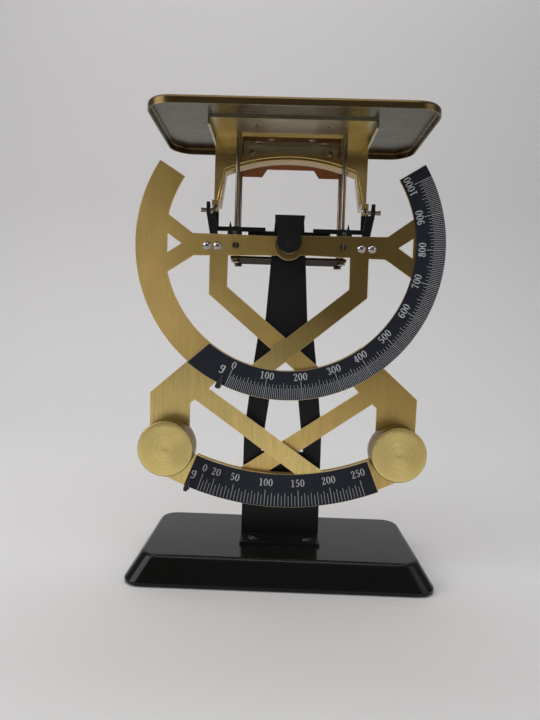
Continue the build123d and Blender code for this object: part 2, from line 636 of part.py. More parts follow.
# Base: hollow cover, closing plate, screws and feet
cover = base_body(0, BASE_EDGE, BASE_TOP)
cover = fillet(cover.edges().group_by(Axis.Z)[-1], 2.5)
cover -= base_body(BASE_WALL, BASE_EDGE, BASE_TOP - BASE_WALL)
BASE_SCREWS = [(x, BASE_Y + y) for y in (-20.0, 20.0) for x in (-54.0, 54.0)]
PLATE_TOP = PLATE_UNDER + PLATE_SHEET
for x, y in BASE_SCREWS:
    cover += cylinder_z(x, y, 3.5, PLATE_TOP, BASE_TOP - 1)
    cover -= cylinder_z(x, y, 1.25, PLATE_TOP - 1, BASE_TOP - 3)
for x, y in COLUMN_SCREWS:
    cover -= cylinder_z(x, y, 1.5, BASE_TOP - 4, BASE_TOP + 4)
save("base_cover", [cover])

FEET = [(-FOOT_X, BASE_Y - FOOT_Y), (FOOT_X, BASE_Y - FOOT_Y)]
FEET += [(-FOOT_X, BASE_Y + FOOT_Y), (FOOT_X, BASE_Y + FOOT_Y)]
slope_height = BASE_TOP - BASE_WALL - BASE_SLOPE_START
lean = (BASE_LENGTH - BASE_TOP_LENGTH) / 2 / slope_height
plate_inset = BASE_WALL + lean * (PLATE_TOP - BASE_SLOPE_START) + 0.15
plate_face = RectangleRounded(
    BASE_LENGTH - 2 * plate_inset, BASE_DEPTH - 2 * plate_inset, 10.0 - plate_inset
)
base_plate = Pos(0, BASE_Y, PLATE_UNDER) * extrude(plate_face, amount=PLATE_SHEET)
base_screws = []
feet = []
for x, y in BASE_SCREWS:
    base_plate -= cylinder_z(x, y, 1.4, PLATE_UNDER - 1, PLATE_TOP + 1)
    screw = cylinder_z(x, y, 1.25, PLATE_UNDER, BASE_TOP - 5)
    screw += cylinder_z(x, y, 2.6, PLATE_UNDER - 1.2, PLATE_UNDER)
    base_screws.append(screw - block(x - 3, x + 3, y - 0.4, y + 0.4, 1.0, PLATE_UNDER - 0.6))
for x, y in FEET:
    base_plate -= cylinder_z(x, y, 2.0, PLATE_UNDER - 1, PLATE_TOP + 1)
    foot = cylinder_z(x, y, FOOT_RADIUS, 0, PLATE_UNDER)
    foot += cylinder_z(x, y, 2.0, PLATE_UNDER, PLATE_TOP)
    feet.append(foot + cylinder_z(x, y, 2.7, PLATE_TOP, PLATE_TOP + 1.0))
save("base_plate", [base_plate])
save("base_plate_screws", base_screws)
save("rubber_feet", feet)
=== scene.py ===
"""Looks of a desk letter scale: twin brass sectors, a sliding pan and a black stand.

The object's sizes are millimetres in the scale's own layout: x to the reader's right, y towards
the back, and heights counted from the axle. The studio's sizes are metres.
"""

import json
import logging
import math
from dataclasses import dataclass, replace
from enum import Enum

import bmesh
import bpy
from mathutils import Matrix, Vector

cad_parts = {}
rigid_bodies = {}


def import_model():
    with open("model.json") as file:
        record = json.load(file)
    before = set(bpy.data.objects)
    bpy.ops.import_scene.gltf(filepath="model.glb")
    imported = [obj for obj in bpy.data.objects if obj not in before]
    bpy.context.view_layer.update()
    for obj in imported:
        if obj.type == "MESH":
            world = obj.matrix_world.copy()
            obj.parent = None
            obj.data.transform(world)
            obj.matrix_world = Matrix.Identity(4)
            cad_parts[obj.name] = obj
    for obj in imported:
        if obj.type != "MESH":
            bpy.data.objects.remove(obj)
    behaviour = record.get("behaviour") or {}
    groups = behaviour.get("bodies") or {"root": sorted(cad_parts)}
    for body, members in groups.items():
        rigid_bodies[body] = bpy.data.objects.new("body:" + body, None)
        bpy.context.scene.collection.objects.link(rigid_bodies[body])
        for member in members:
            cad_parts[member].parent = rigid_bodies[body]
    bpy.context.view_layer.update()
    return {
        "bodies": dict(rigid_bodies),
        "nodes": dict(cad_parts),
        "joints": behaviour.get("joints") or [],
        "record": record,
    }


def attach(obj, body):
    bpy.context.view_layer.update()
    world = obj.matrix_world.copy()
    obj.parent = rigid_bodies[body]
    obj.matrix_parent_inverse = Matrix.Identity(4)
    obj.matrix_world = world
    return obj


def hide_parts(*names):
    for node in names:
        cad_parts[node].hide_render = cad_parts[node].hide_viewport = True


MM = 0.001
AXLE_HEIGHT = 182.0
PAN_CENTRE_Y = -9.0
LOG = logging.getLogger("letter_scale")

Point = tuple[float, float]
Spot = tuple[float, float, float]
Colour = tuple[float, float, float]
Stroke = list[tuple[float, float, float]]
Feed = float | str | tuple | bpy.types.NodeSocket


class Pattern(Enum):
    """Marks that the working of a surface leaves on it."""

    GRAIN = "grain"
    RINGS = "rings"


class Axis(Enum):
    """Axes of the frame, as the numbers of a vector's parts."""

    X = 0
    Y = 1
    Z = 2


class TreeKind(Enum):
    """Kinds of node group."""

    SHADER = "ShaderNodeTree"
    GEOMETRY = "GeometryNodeTree"


class Socket(Enum):
    """Kinds of socket on a node group."""

    VECTOR = "NodeSocketVector"
    FLOAT = "NodeSocketFloat"
    GEOMETRY = "NodeSocketGeometry"
    MATERIAL = "NodeSocketMaterial"
    OBJECT = "NodeSocketObject"


class Side(Enum):
    """The two sectors, by the body that each piece belongs to."""

    RIGHT = "right"
    LEFT = "left"

    @property
    def mirror(self) -> float:
        """Sign that turns the right sector's x values into this one's."""
        return 1.0 if self is Side.RIGHT else -1.0

    @property
    def body(self) -> str:
        """Name of the moving body."""
        return f"{self.value}_sector"


@dataclass(frozen=True)
class Finish:
    """One surface finish and the numbers that shape its material.

    Attributes:
        name: The material's name.
        base: Main colour.
        shade: Colour of its clouds and grain lines.
        metallic: Share of bare metal.
        roughness: Middle roughness.
        swing: How far the roughness varies.
        pattern: What the working left.
        grain: Squeeze of the grain along x, y and z.
        grain_depth: Strength of the bump of the grain or the rings.
        line_share: How strongly the grain lines colour the surface.
        wear: Colour of the bright edges: rubbed metal, and where it is strong and wide a painted
            highlight.
        wear_amount: Strength of the bright edges.
        wear_radius: Width of the bright edges in millimetres.
        coat: Weight of the clear coat.
        dust: Amount of dust on upward faces.
        specular: Specular level.
        rim: Colour for the faces that look away from rim_axis, where it differs: a painted highlight or a
            painted shade on edges and side walls.
        rim_axis: Axis that the broad faces look along.
        turned_gloss: How far highlights are drawn round the y axis.
        clean: Paler colour low down on the sheet, a painted reflection, that gives way to the darker main
            colour higher up and towards +X, a painted shade.
        centre: Shift that brings a turned piece's centre to zero, in metres.
    """

    name: str
    base: Colour
    shade: Colour
    metallic: float = 1.0
    roughness: float = 0.3
    swing: float = 0.1
    pattern: Pattern = Pattern.GRAIN
    grain: Spot = (60.0, 900.0, 900.0)
    grain_depth: float = 0.25
    line_share: float = 0.30
    wear: Colour = (0.9, 0.8, 0.55)
    wear_amount: float = 0.6
    wear_radius: float = 0.35
    coat: float = 0.0
    dust: float = 0.0
    specular: float = 0.5
    rim: Colour | None = None
    rim_axis: Axis = Axis.Z
    turned_gloss: float = 0.0
    clean: Colour | None = None
    centre: Spot = (0.0, 0.0, 0.0)


def polar(radius: float, angle: float) -> Point:
    """Point at an angle from straight down, counted towards +X.

    Args:
        radius: Distance from the axle in millimetres.
        angle: Angle in degrees.

    Returns:
        The x value and the height above the axle.
    """
    turn = math.radians(angle)
    return radius * math.sin(turn), -radius * math.cos(turn)


def place(x: float, y: float, z: float) -> Vector:
    """Turn a layout point, in millimetres, into a point of the frame, in metres."""
    return Vector((x, y - PAN_CENTRE_Y, z + AXLE_HEIGHT)) * MM


class Graph:
    """Adds and joins nodes in one tree."""

    def __init__(self, tree: bpy.types.NodeTree) -> None:
        """Keep the tree that the nodes go to."""
        self.tree = tree

    def feed(self, socket: bpy.types.NodeSocket, value: Feed) -> None:
        """Give an input a plain value, or a link from an output.

        Args:
            socket: The input.
            value: The value or the output socket.
        """
        if isinstance(value, bpy.types.NodeSocket):
            self.tree.links.new(value, socket)
        else:
            socket.default_value = value

    def add(
        self, kind: str, inputs: dict[str | int, Feed] | None = None, **settings: object
    ) -> bpy.types.Node:
        """Add a node.

        Args:
            kind: The node's type name.
            inputs: Values or output sockets by input name or number.
            **settings: Properties of the node itself.

        Returns:
            The new node.
        """
        node = self.tree.nodes.new(kind)
        for name, value in settings.items():
            setattr(node, name, value)
        for key, value in (inputs or {}).items():
            self.feed(node.inputs[key], value)
        return node

    def use(self, effect: bpy.types.NodeTree, inputs: dict[str, Feed]) -> bpy.types.Node:
        """Place a shared shader group."""
        return self.add("ShaderNodeGroup", inputs, node_tree=effect)

    def math(
        self, operation: str, first: Feed, second: Feed = 0.0, clamp: bool = False
    ) -> bpy.types.NodeSocket:
        """Add a Math node and return its output."""
        node = self.add("ShaderNodeMath", {0: first, 1: second}, operation=operation, use_clamp=clamp)
        return node.outputs[0]

    def mix(self, share: Feed, first: Feed, second: Feed) -> bpy.types.NodeSocket:
        """Add a mix of two colours.

        Args:
            share: How much of the second colour there is.
            first: A colour or a socket that gives one.
            second: A colour or a socket that gives one.

        Returns:
            The mixed colour.
        """
        node = self.add("ShaderNodeMix", data_type="RGBA")
        factor, colour_a, colour_b, result = 0, 6, 7, 2
        for index, value in ((factor, share), (colour_a, first), (colour_b, second)):
            self.feed(node.inputs[index], (*value, 1.0) if isinstance(value, tuple) else value)
        return node.outputs[result]

    def noise(
        self, vector: Feed, scale: Feed, detail: float, roughness: float = 0.5, distortion: float = 0.0
    ) -> bpy.types.NodeSocket:
        """Add noise in space.

        Args:
            vector: Where it is read.
            scale: Its fineness.
            detail: Number of finer layers.
            roughness: Weight of the finer layers.
            distortion: How far it is bent.

        Returns:
            Its value.
        """
        inputs = {"Vector": vector, "Scale": scale, "Detail": detail, "Roughness": roughness}
        return self.add("ShaderNodeTexNoise", {**inputs, "Distortion": distortion}).outputs["Fac"]

    def ripple(self, distance: Feed, scale: float, detail: float) -> bpy.types.NodeSocket:
        """Add noise along one distance."""
        inputs = {"W": distance, "Scale": scale, "Detail": detail}
        return self.add("ShaderNodeTexNoise", inputs, noise_dimensions="1D").outputs["Fac"]

    def remap(
        self,
        value: Feed,
        low: float,
        high: float,
        to_low: float = 0.0,
        to_high: float = 1.0,
        interpolation: str = "LINEAR",
    ) -> bpy.types.NodeSocket:
        """Stretch one range of a value to another and stop at its ends.

        Args:
            value: The value.
            low: Where the range starts.
            high: Where the range ends.
            to_low: Result at the start.
            to_high: Result at the end.
            interpolation: How the result runs between them.

        Returns:
            The result.
        """
        inputs = {"Value": value, "From Min": low, "From Max": high, "To Min": to_low, "To Max": to_high}
        return self.add("ShaderNodeMapRange", inputs, interpolation_type=interpolation).outputs[0]

    def length(self, vector: Feed) -> bpy.types.NodeSocket:
        """Add the length of a vector."""
        return self.add("ShaderNodeVectorMath", {0: vector}, operation="LENGTH").outputs["Value"]


class Group(Graph):
    """A node group with named inputs and outputs."""

    def __init__(
        self,
        name: str,
        kind: TreeKind,
        inputs: list[tuple[str, Socket, object]],
        outputs: list[tuple[str, Socket]],
    ) -> None:
        """Make the group and its sockets.

        Args:
            name: The group's name.
            kind: Whether it shades or makes geometry.
            inputs: Name, kind and default value of each input.
            outputs: Name and kind of each output.
        """
        super().__init__(bpy.data.node_groups.new(name, kind.value))
        for label, socket, default in inputs:
            made = self.tree.interface.new_socket(label, in_out="INPUT", socket_type=socket.value)
            if default is not None:
                made.default_value = default
        for label, socket in outputs:
            self.tree.interface.new_socket(label, in_out="OUTPUT", socket_type=socket.value)
        self.source = self.add("NodeGroupInput")
        self.target = self.add("NodeGroupOutput")

    def take(self, name: str) -> bpy.types.NodeSocket:
        """Socket that gives one of the group's inputs."""
        return self.source.outputs[name]

    def give(self, **results: bpy.types.NodeSocket) -> None:
        """Send sockets to the group's outputs of the same names."""
        for name, socket in results.items():
            self.tree.links.new(socket, self.target.inputs[name])


class SurfaceEffects:
    """Shader groups that several finishes share."""

    def __init__(self) -> None:
        """Build every group once."""
        self.grain = self._grain()
        self.patina = self._patina()
        self.wear = self._wear()
        self.rings = self._rings()
        self.dust = self._dust()

    def _grain(self) -> bpy.types.NodeTree:
        """Fine parallel scratches of brushed metal, or the speckle of paint.

        Returns:
            The group, with a mask of lines and a height for a bump.
        """
        g = Group(
            "brushed_grain",
            TreeKind.SHADER,
            inputs=[("Vector", Socket.VECTOR, None), ("Stretch", Socket.VECTOR, (60.0, 900.0, 900.0))],
            outputs=[("Mask", Socket.FLOAT), ("Height", Socket.FLOAT)],
        )
        factors = {0: g.take("Vector"), 1: g.take("Stretch")}
        scaled = g.add("ShaderNodeVectorMath", factors, operation="MULTIPLY").outputs[0]
        fine = g.noise(scaled, 3.0, detail=3.0, roughness=0.65)
        coarse = g.noise(scaled, 0.7, detail=2.0)
        g.give(Mask=g.remap(g.math("MULTIPLY", fine, coarse), 0.12, 0.42), Height=fine)
        return g.tree

    def _patina(self) -> bpy.types.NodeTree:
        """Soft clouds of tarnish with a few handling spots.

        Returns:
            The group, with a mask of clouds and a mask of spots.
        """
        g = Group(
            "tarnish_clouds",
            TreeKind.SHADER,
            inputs=[("Vector", Socket.VECTOR, None), ("Scale", Socket.FLOAT, 22.0)],
            outputs=[("Clouds", Socket.FLOAT), ("Spots", Socket.FLOAT)],
        )
        vector, scale = g.take("Vector"), g.take("Scale")
        spots_per_cloud = 9.0
        cloud = g.noise(vector, scale, detail=5.0, roughness=0.55, distortion=0.4)
        dots = g.noise(vector, g.math("MULTIPLY", scale, spots_per_cloud), detail=6.0, roughness=0.7)
        g.give(Clouds=g.remap(cloud, 0.32, 0.72), Spots=g.remap(dots, 0.60, 0.74))
        return g.tree

    def _wear(self) -> bpy.types.NodeTree:
        """Bright edges broken up by noise: rubbed metal, and where a finish sets them strong a painted
        highlight.

        Returns:
            The group, with a mask of the bright edges.
        """
        g = Group(
            "edge_wear_and_glint",
            TreeKind.SHADER,
            inputs=[
                ("Vector", Socket.VECTOR, None),
                ("Radius", Socket.FLOAT, 0.0004),
                ("Amount", Socket.FLOAT, 0.6),
            ],
            outputs=[("Mask", Socket.FLOAT)],
        )
        edge_gain = 7.0
        rounded = g.add("ShaderNodeBevel", {"Radius": g.take("Radius")}, samples=4).outputs[0]
        plain = g.add("ShaderNodeNewGeometry").outputs["Normal"]
        dot = g.add("ShaderNodeVectorMath", {0: rounded, 1: plain}, operation="DOT_PRODUCT")
        edge = g.math("MULTIPLY", g.math("SUBTRACT", 1.0, dot.outputs["Value"]), edge_gain)
        broken = g.remap(g.noise(g.take("Vector"), 260.0, detail=3.0), 0.3, 0.7, to_low=0.35)
        strong = g.math("MULTIPLY", edge, broken)
        g.give(Mask=g.math("MULTIPLY", strong, g.take("Amount"), clamp=True))
        return g.tree

    def _rings(self) -> bpy.types.NodeTree:
        """Concentric lathe marks round the local Y axis.

        Returns:
            The group, with a mask of broad rings and a height of fine ones.
        """
        g = Group(
            "lathe_rings",
            TreeKind.SHADER,
            inputs=[("Vector", Socket.VECTOR, None), ("Pitch", Socket.FLOAT, 9000.0)],
            outputs=[("Mask", Socket.FLOAT), ("Height", Socket.FLOAT)],
        )
        broad_pitch = 900.0
        parts = g.add("ShaderNodeSeparateXYZ", {0: g.take("Vector")}).outputs
        across, upward = parts[Axis.X.value], parts[Axis.Z.value]
        flat = g.add("ShaderNodeCombineXYZ", {0: across, 1: 0.0, 2: upward}).outputs[0]
        radius = g.length(flat)
        fine = g.ripple(g.math("MULTIPLY", radius, g.take("Pitch")), scale=0.55, detail=2.0)
        broad = g.ripple(g.math("MULTIPLY", radius, broad_pitch), scale=1.0, detail=1.0)
        g.give(Mask=g.remap(broad, 0.35, 0.65), Height=fine)
        return g.tree

    def _dust(self) -> bpy.types.NodeTree:
        """Pale dust that settles on upward faces.

        Returns:
            The group, with a mask of the dust.
        """
        g = Group(
            "settled_dust",
            TreeKind.SHADER,
            inputs=[("Vector", Socket.VECTOR, None), ("Amount", Socket.FLOAT, 0.2)],
            outputs=[("Mask", Socket.FLOAT)],
        )
        normal = g.add("ShaderNodeNewGeometry").outputs["Normal"]
        upward = g.add("ShaderNodeSeparateXYZ", {0: normal}).outputs[Axis.Z.value]
        specks = g.noise(g.take("Vector"), 900.0, detail=4.0)
        drift = g.noise(g.take("Vector"), 35.0, detail=3.0)
        cover = g.math("MULTIPLY", g.remap(specks, 0.5, 0.68, to_low=0.12), drift)
        lying = g.math("MULTIPLY", cover, g.remap(upward, 0.3, 1.0))
        g.give(Mask=g.math("MULTIPLY", lying, g.take("Amount"), clamp=True))
        return g.tree


@dataclass
class Palette:
    """Builds each finish's material once.

    Attributes:
        effects: The shared shader groups.
        clean_below: Height over the floor, in millimetres, up to which a sheet with a painted sheen shows
            only that paler colour, a painted reflection.
        tarnished_above: Height from which it shows only its darker main colour, a painted shade.
        tarnish_lean: How much each millimetre towards +X counts as height, so that the painted shade
            reaches lower on the right.
        cloud_share: How strongly the clouds colour a surface.
        line_roughens: Share of a finish's swing that its grain lines add.
        spot_roughens: Share of it that the handling spots add.
        broad_facing: Part of the normal along rim_axis on a broad face.
        rim_facing: The same part where the painted rim colour is full.
        dust_colour: Colour of dust.
        dust_roughens: Roughness that full dust adds.
        scratch_height: Height of the grain in millimetres.
        coat_roughness: Roughness of a clear coat.
    """

    effects: SurfaceEffects
    clean_below: float = 78.0
    tarnished_above: float = 172.0
    tarnish_lean: float = 0.9
    cloud_share: float = 0.75
    line_roughens: float = 0.6
    spot_roughens: float = 0.15
    broad_facing: float = 0.98
    rim_facing: float = 0.80
    dust_colour: Colour = (0.55, 0.53, 0.50)
    dust_roughens: float = 0.5
    scratch_height: float = 0.04
    coat_roughness: float = 0.06

    def __post_init__(self) -> None:
        """Start with no material made."""
        self.made: dict[str, bpy.types.Material] = {}

    def material(self, finish: Finish) -> bpy.types.Material:
        """Material of a finish.

        Args:
            finish: The finish to build.

        Returns:
            The material, built on first use.
        """
        if finish.name not in self.made:
            self.made[finish.name] = self._build(finish)
        return self.made[finish.name]

    def _build(self, finish: Finish) -> bpy.types.Material:
        """Build the node tree of one finish.

        Args:
            finish: The finish to build.

        Returns:
            The new material.
        """
        material = bpy.data.materials.new(finish.name)
        material.use_nodes = True
        material.node_tree.nodes.clear()
        g = Graph(material.node_tree)
        spot = g.add("ShaderNodeTexCoord").outputs["Object"]
        if finish.pattern is Pattern.RINGS:
            spot = g.add("ShaderNodeMapping", {"Vector": spot, "Location": finish.centre}).outputs[0]
            grain = g.use(self.effects.rings, {"Vector": spot})
        else:
            grain = g.use(self.effects.grain, {"Vector": spot, "Stretch": finish.grain})
        clouds = g.use(self.effects.patina, {"Vector": spot})
        colour = self._colour(g, finish, spot, clouds, grain)
        rough = self._roughness(g, finish, clouds, grain)
        if finish.dust > 0:
            dust = g.use(self.effects.dust, {"Vector": spot, "Amount": finish.dust}).outputs["Mask"]
            colour = g.mix(dust, colour, self.dust_colour)
            rough = g.math("ADD", rough, g.math("MULTIPLY", dust, self.dust_roughens), clamp=True)
        bump = g.add("ShaderNodeBump", {
            "Strength": finish.grain_depth,
            "Distance": self.scratch_height * MM,
            "Height": grain.outputs["Height"],
        })
        shader = g.add("ShaderNodeBsdfPrincipled", {
            "Base Color": colour,
            "Metallic": finish.metallic,
            "Roughness": rough,
            "Coat Weight": finish.coat,
            "Coat Roughness": self.coat_roughness,
            "Specular IOR Level": finish.specular,
            "Normal": bump.outputs[0],
        })
        if finish.turned_gloss > 0:
            shader.inputs["Anisotropic"].default_value = finish.turned_gloss
            around = g.add("ShaderNodeTangent", direction_type="RADIAL", axis="Y")
            g.feed(shader.inputs["Tangent"], around.outputs[0])
        g.add("ShaderNodeOutputMaterial", {"Surface": shader.outputs[0]})
        return material

    def _colour(
        self,
        g: Graph,
        finish: Finish,
        spot: bpy.types.NodeSocket,
        clouds: bpy.types.Node,
        grain: bpy.types.Node,
    ) -> bpy.types.NodeSocket:
        """Lay clouds, the painted sheen, grain lines, the painted rim colour and the bright edges over
        the main colour.

        Args:
            g: The material's graph.
            finish: The finish to build.
            spot: Where the patterns are read.
            clouds: The tarnish clouds.
            grain: The grain or the rings.

        Returns:
            The colour.
        """
        cloudy = g.math("MULTIPLY", clouds.outputs["Clouds"], self.cloud_share)
        colour = g.mix(cloudy, finish.base, finish.shade)
        # Paler low on the sheet and darker higher up and towards +X: a painted reflection low down that
        # gives way to painted shade.
        if finish.clean:
            parts = g.add("ShaderNodeSeparateXYZ", {0: spot}).outputs
            across, upward = parts[Axis.X.value], parts[Axis.Z.value]
            slope = g.math("ADD", upward, g.math("MULTIPLY", across, self.tarnish_lean))
            sheen_gone = g.remap(slope, self.clean_below * MM, self.tarnished_above * MM)
            colour = g.mix(sheen_gone, finish.clean, colour)
        lines = g.math("MULTIPLY", grain.outputs["Mask"], finish.line_share)
        colour = g.mix(lines, colour, finish.shade)
        # Faces turned away from rim_axis take the rim colour, a painted highlight or a painted shade on
        # edges and side walls.
        if finish.rim:
            normal = g.add("ShaderNodeNewGeometry").outputs["Normal"]
            along = g.add("ShaderNodeSeparateXYZ", {0: normal}).outputs[finish.rim_axis.value]
            away = g.remap(g.math("ABSOLUTE", along), self.broad_facing, self.rim_facing)
            colour = g.mix(away, colour, finish.rim)
        wear = g.use(self.effects.wear, {
            "Vector": spot,
            "Radius": finish.wear_radius * MM,
            "Amount": finish.wear_amount,
        })
        return g.mix(wear.outputs["Mask"], colour, finish.wear)

    def _roughness(
        self, g: Graph, finish: Finish, clouds: bpy.types.Node, grain: bpy.types.Node
    ) -> bpy.types.NodeSocket:
        """Vary the roughness with the clouds, the grain and the handling spots.

        Args:
            g: The material's graph.
            finish: The finish to build.
            clouds: The tarnish clouds.
            grain: The grain or the rings.

        Returns:
            The roughness.
        """
        smoothest = finish.roughness - finish.swing / 2
        by_cloud = g.math("MULTIPLY", clouds.outputs["Clouds"], finish.swing)
        by_line = g.math("MULTIPLY", grain.outputs["Mask"], finish.swing * self.line_roughens)
        by_spot = g.math("MULTIPLY", clouds.outputs["Spots"], finish.swing * self.spot_roughens)
        rough = g.math("ADD", g.math("ADD", smoothest, by_cloud), by_line)
        return g.math("ADD", rough, by_spot, clamp=True)


# Both sectors are the same brass: the paler left finish is the lit copy and the darker right finish the
# shaded copy, painted light and painted shade. On both, the rim colour is a painted highlight on the
# sheet's edges, and the strong, wide bright edges are partly a painted highlight.
SECTOR_BRASS_LEFT_LIT = Finish(
    "sector_brass_left_lit", base=(0.62, 0.425, 0.135), shade=(0.47, 0.315, 0.095),
    clean=(0.96, 0.69, 0.25), roughness=0.40, swing=0.14, grain=(900.0, 900.0, 45.0),
    wear=(1.0, 0.86, 0.54), wear_amount=0.9, wear_radius=0.6, rim=(1.0, 0.84, 0.46), rim_axis=Axis.Y,
)
SECTOR_BRASS_RIGHT_SHADED = replace(
    SECTOR_BRASS_LEFT_LIT, name="sector_brass_right_shaded", base=(0.38, 0.26, 0.085),
    shade=(0.26, 0.175, 0.057), clean=(1.0, 0.76, 0.29), roughness=0.32,
)
# The dark rim colour of the disc's side wall is a painted shade.
TURNED_BRASS = Finish(
    "turned_brass", base=(0.98, 0.78, 0.31), shade=(0.76, 0.59, 0.22), roughness=0.28, swing=0.12,
    pattern=Pattern.RINGS, grain_depth=0.45, line_share=0.55, wear=(1.0, 0.9, 0.62),
    rim=(0.22, 0.155, 0.055), rim_axis=Axis.Y, turned_gloss=0.75,
)
# The dark rim colour of the yoke's legs and arch underside is a painted shade, and its strong bright
# edges are partly a painted highlight.
YOKE_BRASS = Finish(
    "yoke_brass", base=(1.0, 0.71, 0.26), shade=(0.60, 0.41, 0.14), roughness=0.20, swing=0.12,
    grain=(120.0, 900.0, 900.0), grain_depth=0.12, wear=(1.0, 0.82, 0.46), wear_amount=1.0,
    wear_radius=0.6, rim=(0.30, 0.20, 0.06), rim_axis=Axis.Y,
)
LIP_BRASS = Finish(
    "lip_brass", base=(0.95, 0.74, 0.34), shade=(0.80, 0.60, 0.26), roughness=0.24,
    grain=(500.0, 500.0, 500.0), grain_depth=0.1, wear=(1.0, 0.9, 0.65),
)
SMALL_BRASS = Finish(
    "small_brass", base=(0.70, 0.56, 0.31), shade=(0.42, 0.32, 0.16), roughness=0.28,
    grain=(500.0, 500.0, 500.0), wear=(1.0, 0.9, 0.65),
)
SCALE_GROUND = Finish(
    "scale_ground", base=(0.014, 0.018, 0.030), shade=(0.010, 0.012, 0.020), metallic=0.0,
    specular=0.3, roughness=0.42, swing=0.12, grain=(700.0, 700.0, 700.0), grain_depth=0.1,
    wear=(0.30, 0.30, 0.34), wear_amount=0.35, wear_radius=0.15,
)
SCALE_PRINT = Finish(
    "scale_print", base=(0.62, 0.64, 0.66), shade=(0.50, 0.53, 0.56), metallic=0.0, roughness=0.6,
    grain=(2500.0, 2500.0, 2500.0), wear_amount=0.0,
)
BLACK_PAINT = Finish(
    "black_paint", base=(0.006, 0.006, 0.007), shade=(0.010, 0.009, 0.010), metallic=0.0,
    specular=0.3, roughness=0.34, swing=0.14, grain=(420.0, 420.0, 420.0), grain_depth=0.3,
    wear=(0.05, 0.045, 0.04), wear_amount=0.3, wear_radius=0.25, dust=0.04,
)
BASE_ENAMEL = Finish(
    "base_enamel", base=(0.0055, 0.0057, 0.005), shade=(0.0075, 0.0075, 0.007), metallic=0.0,
    specular=0.18, roughness=0.12, swing=0.08, grain=(260.0, 260.0, 260.0), grain_depth=0.08,
    wear=(0.03, 0.03, 0.035), wear_amount=0.2, wear_radius=0.5, coat=0.12, dust=0.05,
)
PANEL_PAINT = Finish(
    "panel_paint", base=(0.46, 0.17, 0.068), shade=(0.31, 0.11, 0.042), metallic=0.0, roughness=0.4,
    grain=(400.0, 400.0, 400.0), wear=(0.30, 0.16, 0.08),
)
# The brown-gold rim colour of the pan's turned-down edge is a painted reflection.
PAN_NICKEL = Finish(
    "pan_nickel", base=(0.130, 0.124, 0.092), shade=(0.085, 0.078, 0.055), roughness=0.24,
    grain=(40.0, 700.0, 700.0), grain_depth=0.05, wear=(0.42, 0.33, 0.18), wear_amount=0.5,
    wear_radius=0.5, rim=(0.15, 0.10, 0.042),
)
BRACKET_NICKEL = Finish(
    "bracket_nickel", base=(0.48, 0.45, 0.33), shade=(0.29, 0.26, 0.18), grain=(50.0, 700.0, 700.0),
    grain_depth=0.08, wear=(0.75, 0.68, 0.52), wear_amount=0.7,
)
RIVET_CHROME = Finish(
    "rivet_chrome", base=(0.46, 0.43, 0.44), shade=(0.34, 0.31, 0.32), roughness=0.1, swing=0.08,
    grain=(600.0, 600.0, 600.0), grain_depth=0.05, wear_amount=0.0,
)
ROD_STEEL = Finish(
    "rod_steel", base=(0.30, 0.245, 0.18), shade=(0.17, 0.135, 0.095), roughness=0.2,
    grain=(900.0, 900.0, 60.0), grain_depth=0.15, wear=(0.75, 0.72, 0.66),
)
DARK_STEEL = Finish(
    "dark_steel", base=(0.07, 0.062, 0.052), shade=(0.035, 0.03, 0.026), roughness=0.35,
    grain=(500.0, 500.0, 500.0), wear=(0.55, 0.53, 0.49), wear_amount=0.7, wear_radius=0.2,
)
LUG_STEEL = Finish(
    "lug_steel", base=(0.06, 0.05, 0.038), shade=(0.03, 0.026, 0.02), roughness=0.35,
    grain=(500.0, 500.0, 500.0), wear=(0.95, 0.82, 0.50), wear_amount=1.0, wear_radius=0.3,
)
CROSS_BRONZE = Finish(
    "cross_bronze", base=(0.034, 0.025, 0.014), shade=(0.020, 0.015, 0.009), metallic=0.0,
    specular=0.02, roughness=0.55, grain=(80.0, 600.0, 600.0), wear=(0.62, 0.46, 0.20),
    wear_amount=0.9,
)
POINTER_BLACK = Finish(
    "pointer_black", base=(0.010, 0.009, 0.009), shade=(0.016, 0.014, 0.013), metallic=0.0,
    roughness=0.35, grain=(600.0, 600.0, 600.0), wear=(0.75, 0.73, 0.70), wear_amount=0.9,
    wear_radius=0.16,
)
FOOT_RUBBER = Finish(
    "foot_rubber", base=(0.02, 0.02, 0.02), shade=(0.03, 0.03, 0.03), metallic=0.0, roughness=0.85,
    grain=(900.0, 900.0, 900.0), wear_amount=0.0,
)


def new_object(name: str, data: bpy.types.Mesh | bpy.types.Curve) -> bpy.types.Object:
    """Put a mesh or a curve in the scene.

    Args:
        name: The object's name.
        data: What it shows.

    Returns:
        The new object.
    """
    piece = bpy.data.objects.new(name, data)
    bpy.context.scene.collection.objects.link(piece)
    return piece


def shade_by_angle(mesh: bpy.types.Mesh, degrees: float) -> None:
    """Shade smooth but for edges sharper than an angle."""
    mesh.shade_smooth()
    mesh.set_sharp_from_angle(angle=math.radians(degrees))


def mesh_of(shape: bmesh.types.BMesh, name: str) -> bpy.types.Mesh:
    """Write a shape under work to a mesh and let go of it.

    Args:
        shape: The shape. It is freed.
        name: The mesh's name.

    Returns:
        The mesh.
    """
    mesh = bpy.data.meshes.new(name)
    shape.to_mesh(mesh)
    shape.free()
    return mesh


def baked_copy(piece: bpy.types.Object, name: str) -> bpy.types.Object:
    """Turn a piece and its modifiers into a plain mesh.

    Args:
        piece: The object whose modifiers are to be made real. It is removed.
        name: The name of the result.

    Returns:
        A new object without modifiers.
    """
    bpy.context.view_layer.update()
    graph = bpy.context.evaluated_depsgraph_get()
    mesh = bpy.data.meshes.new_from_object(piece.evaluated_get(graph), depsgraph=graph)
    mesh.name = name
    bpy.data.objects.remove(piece)
    return new_object(name, mesh)


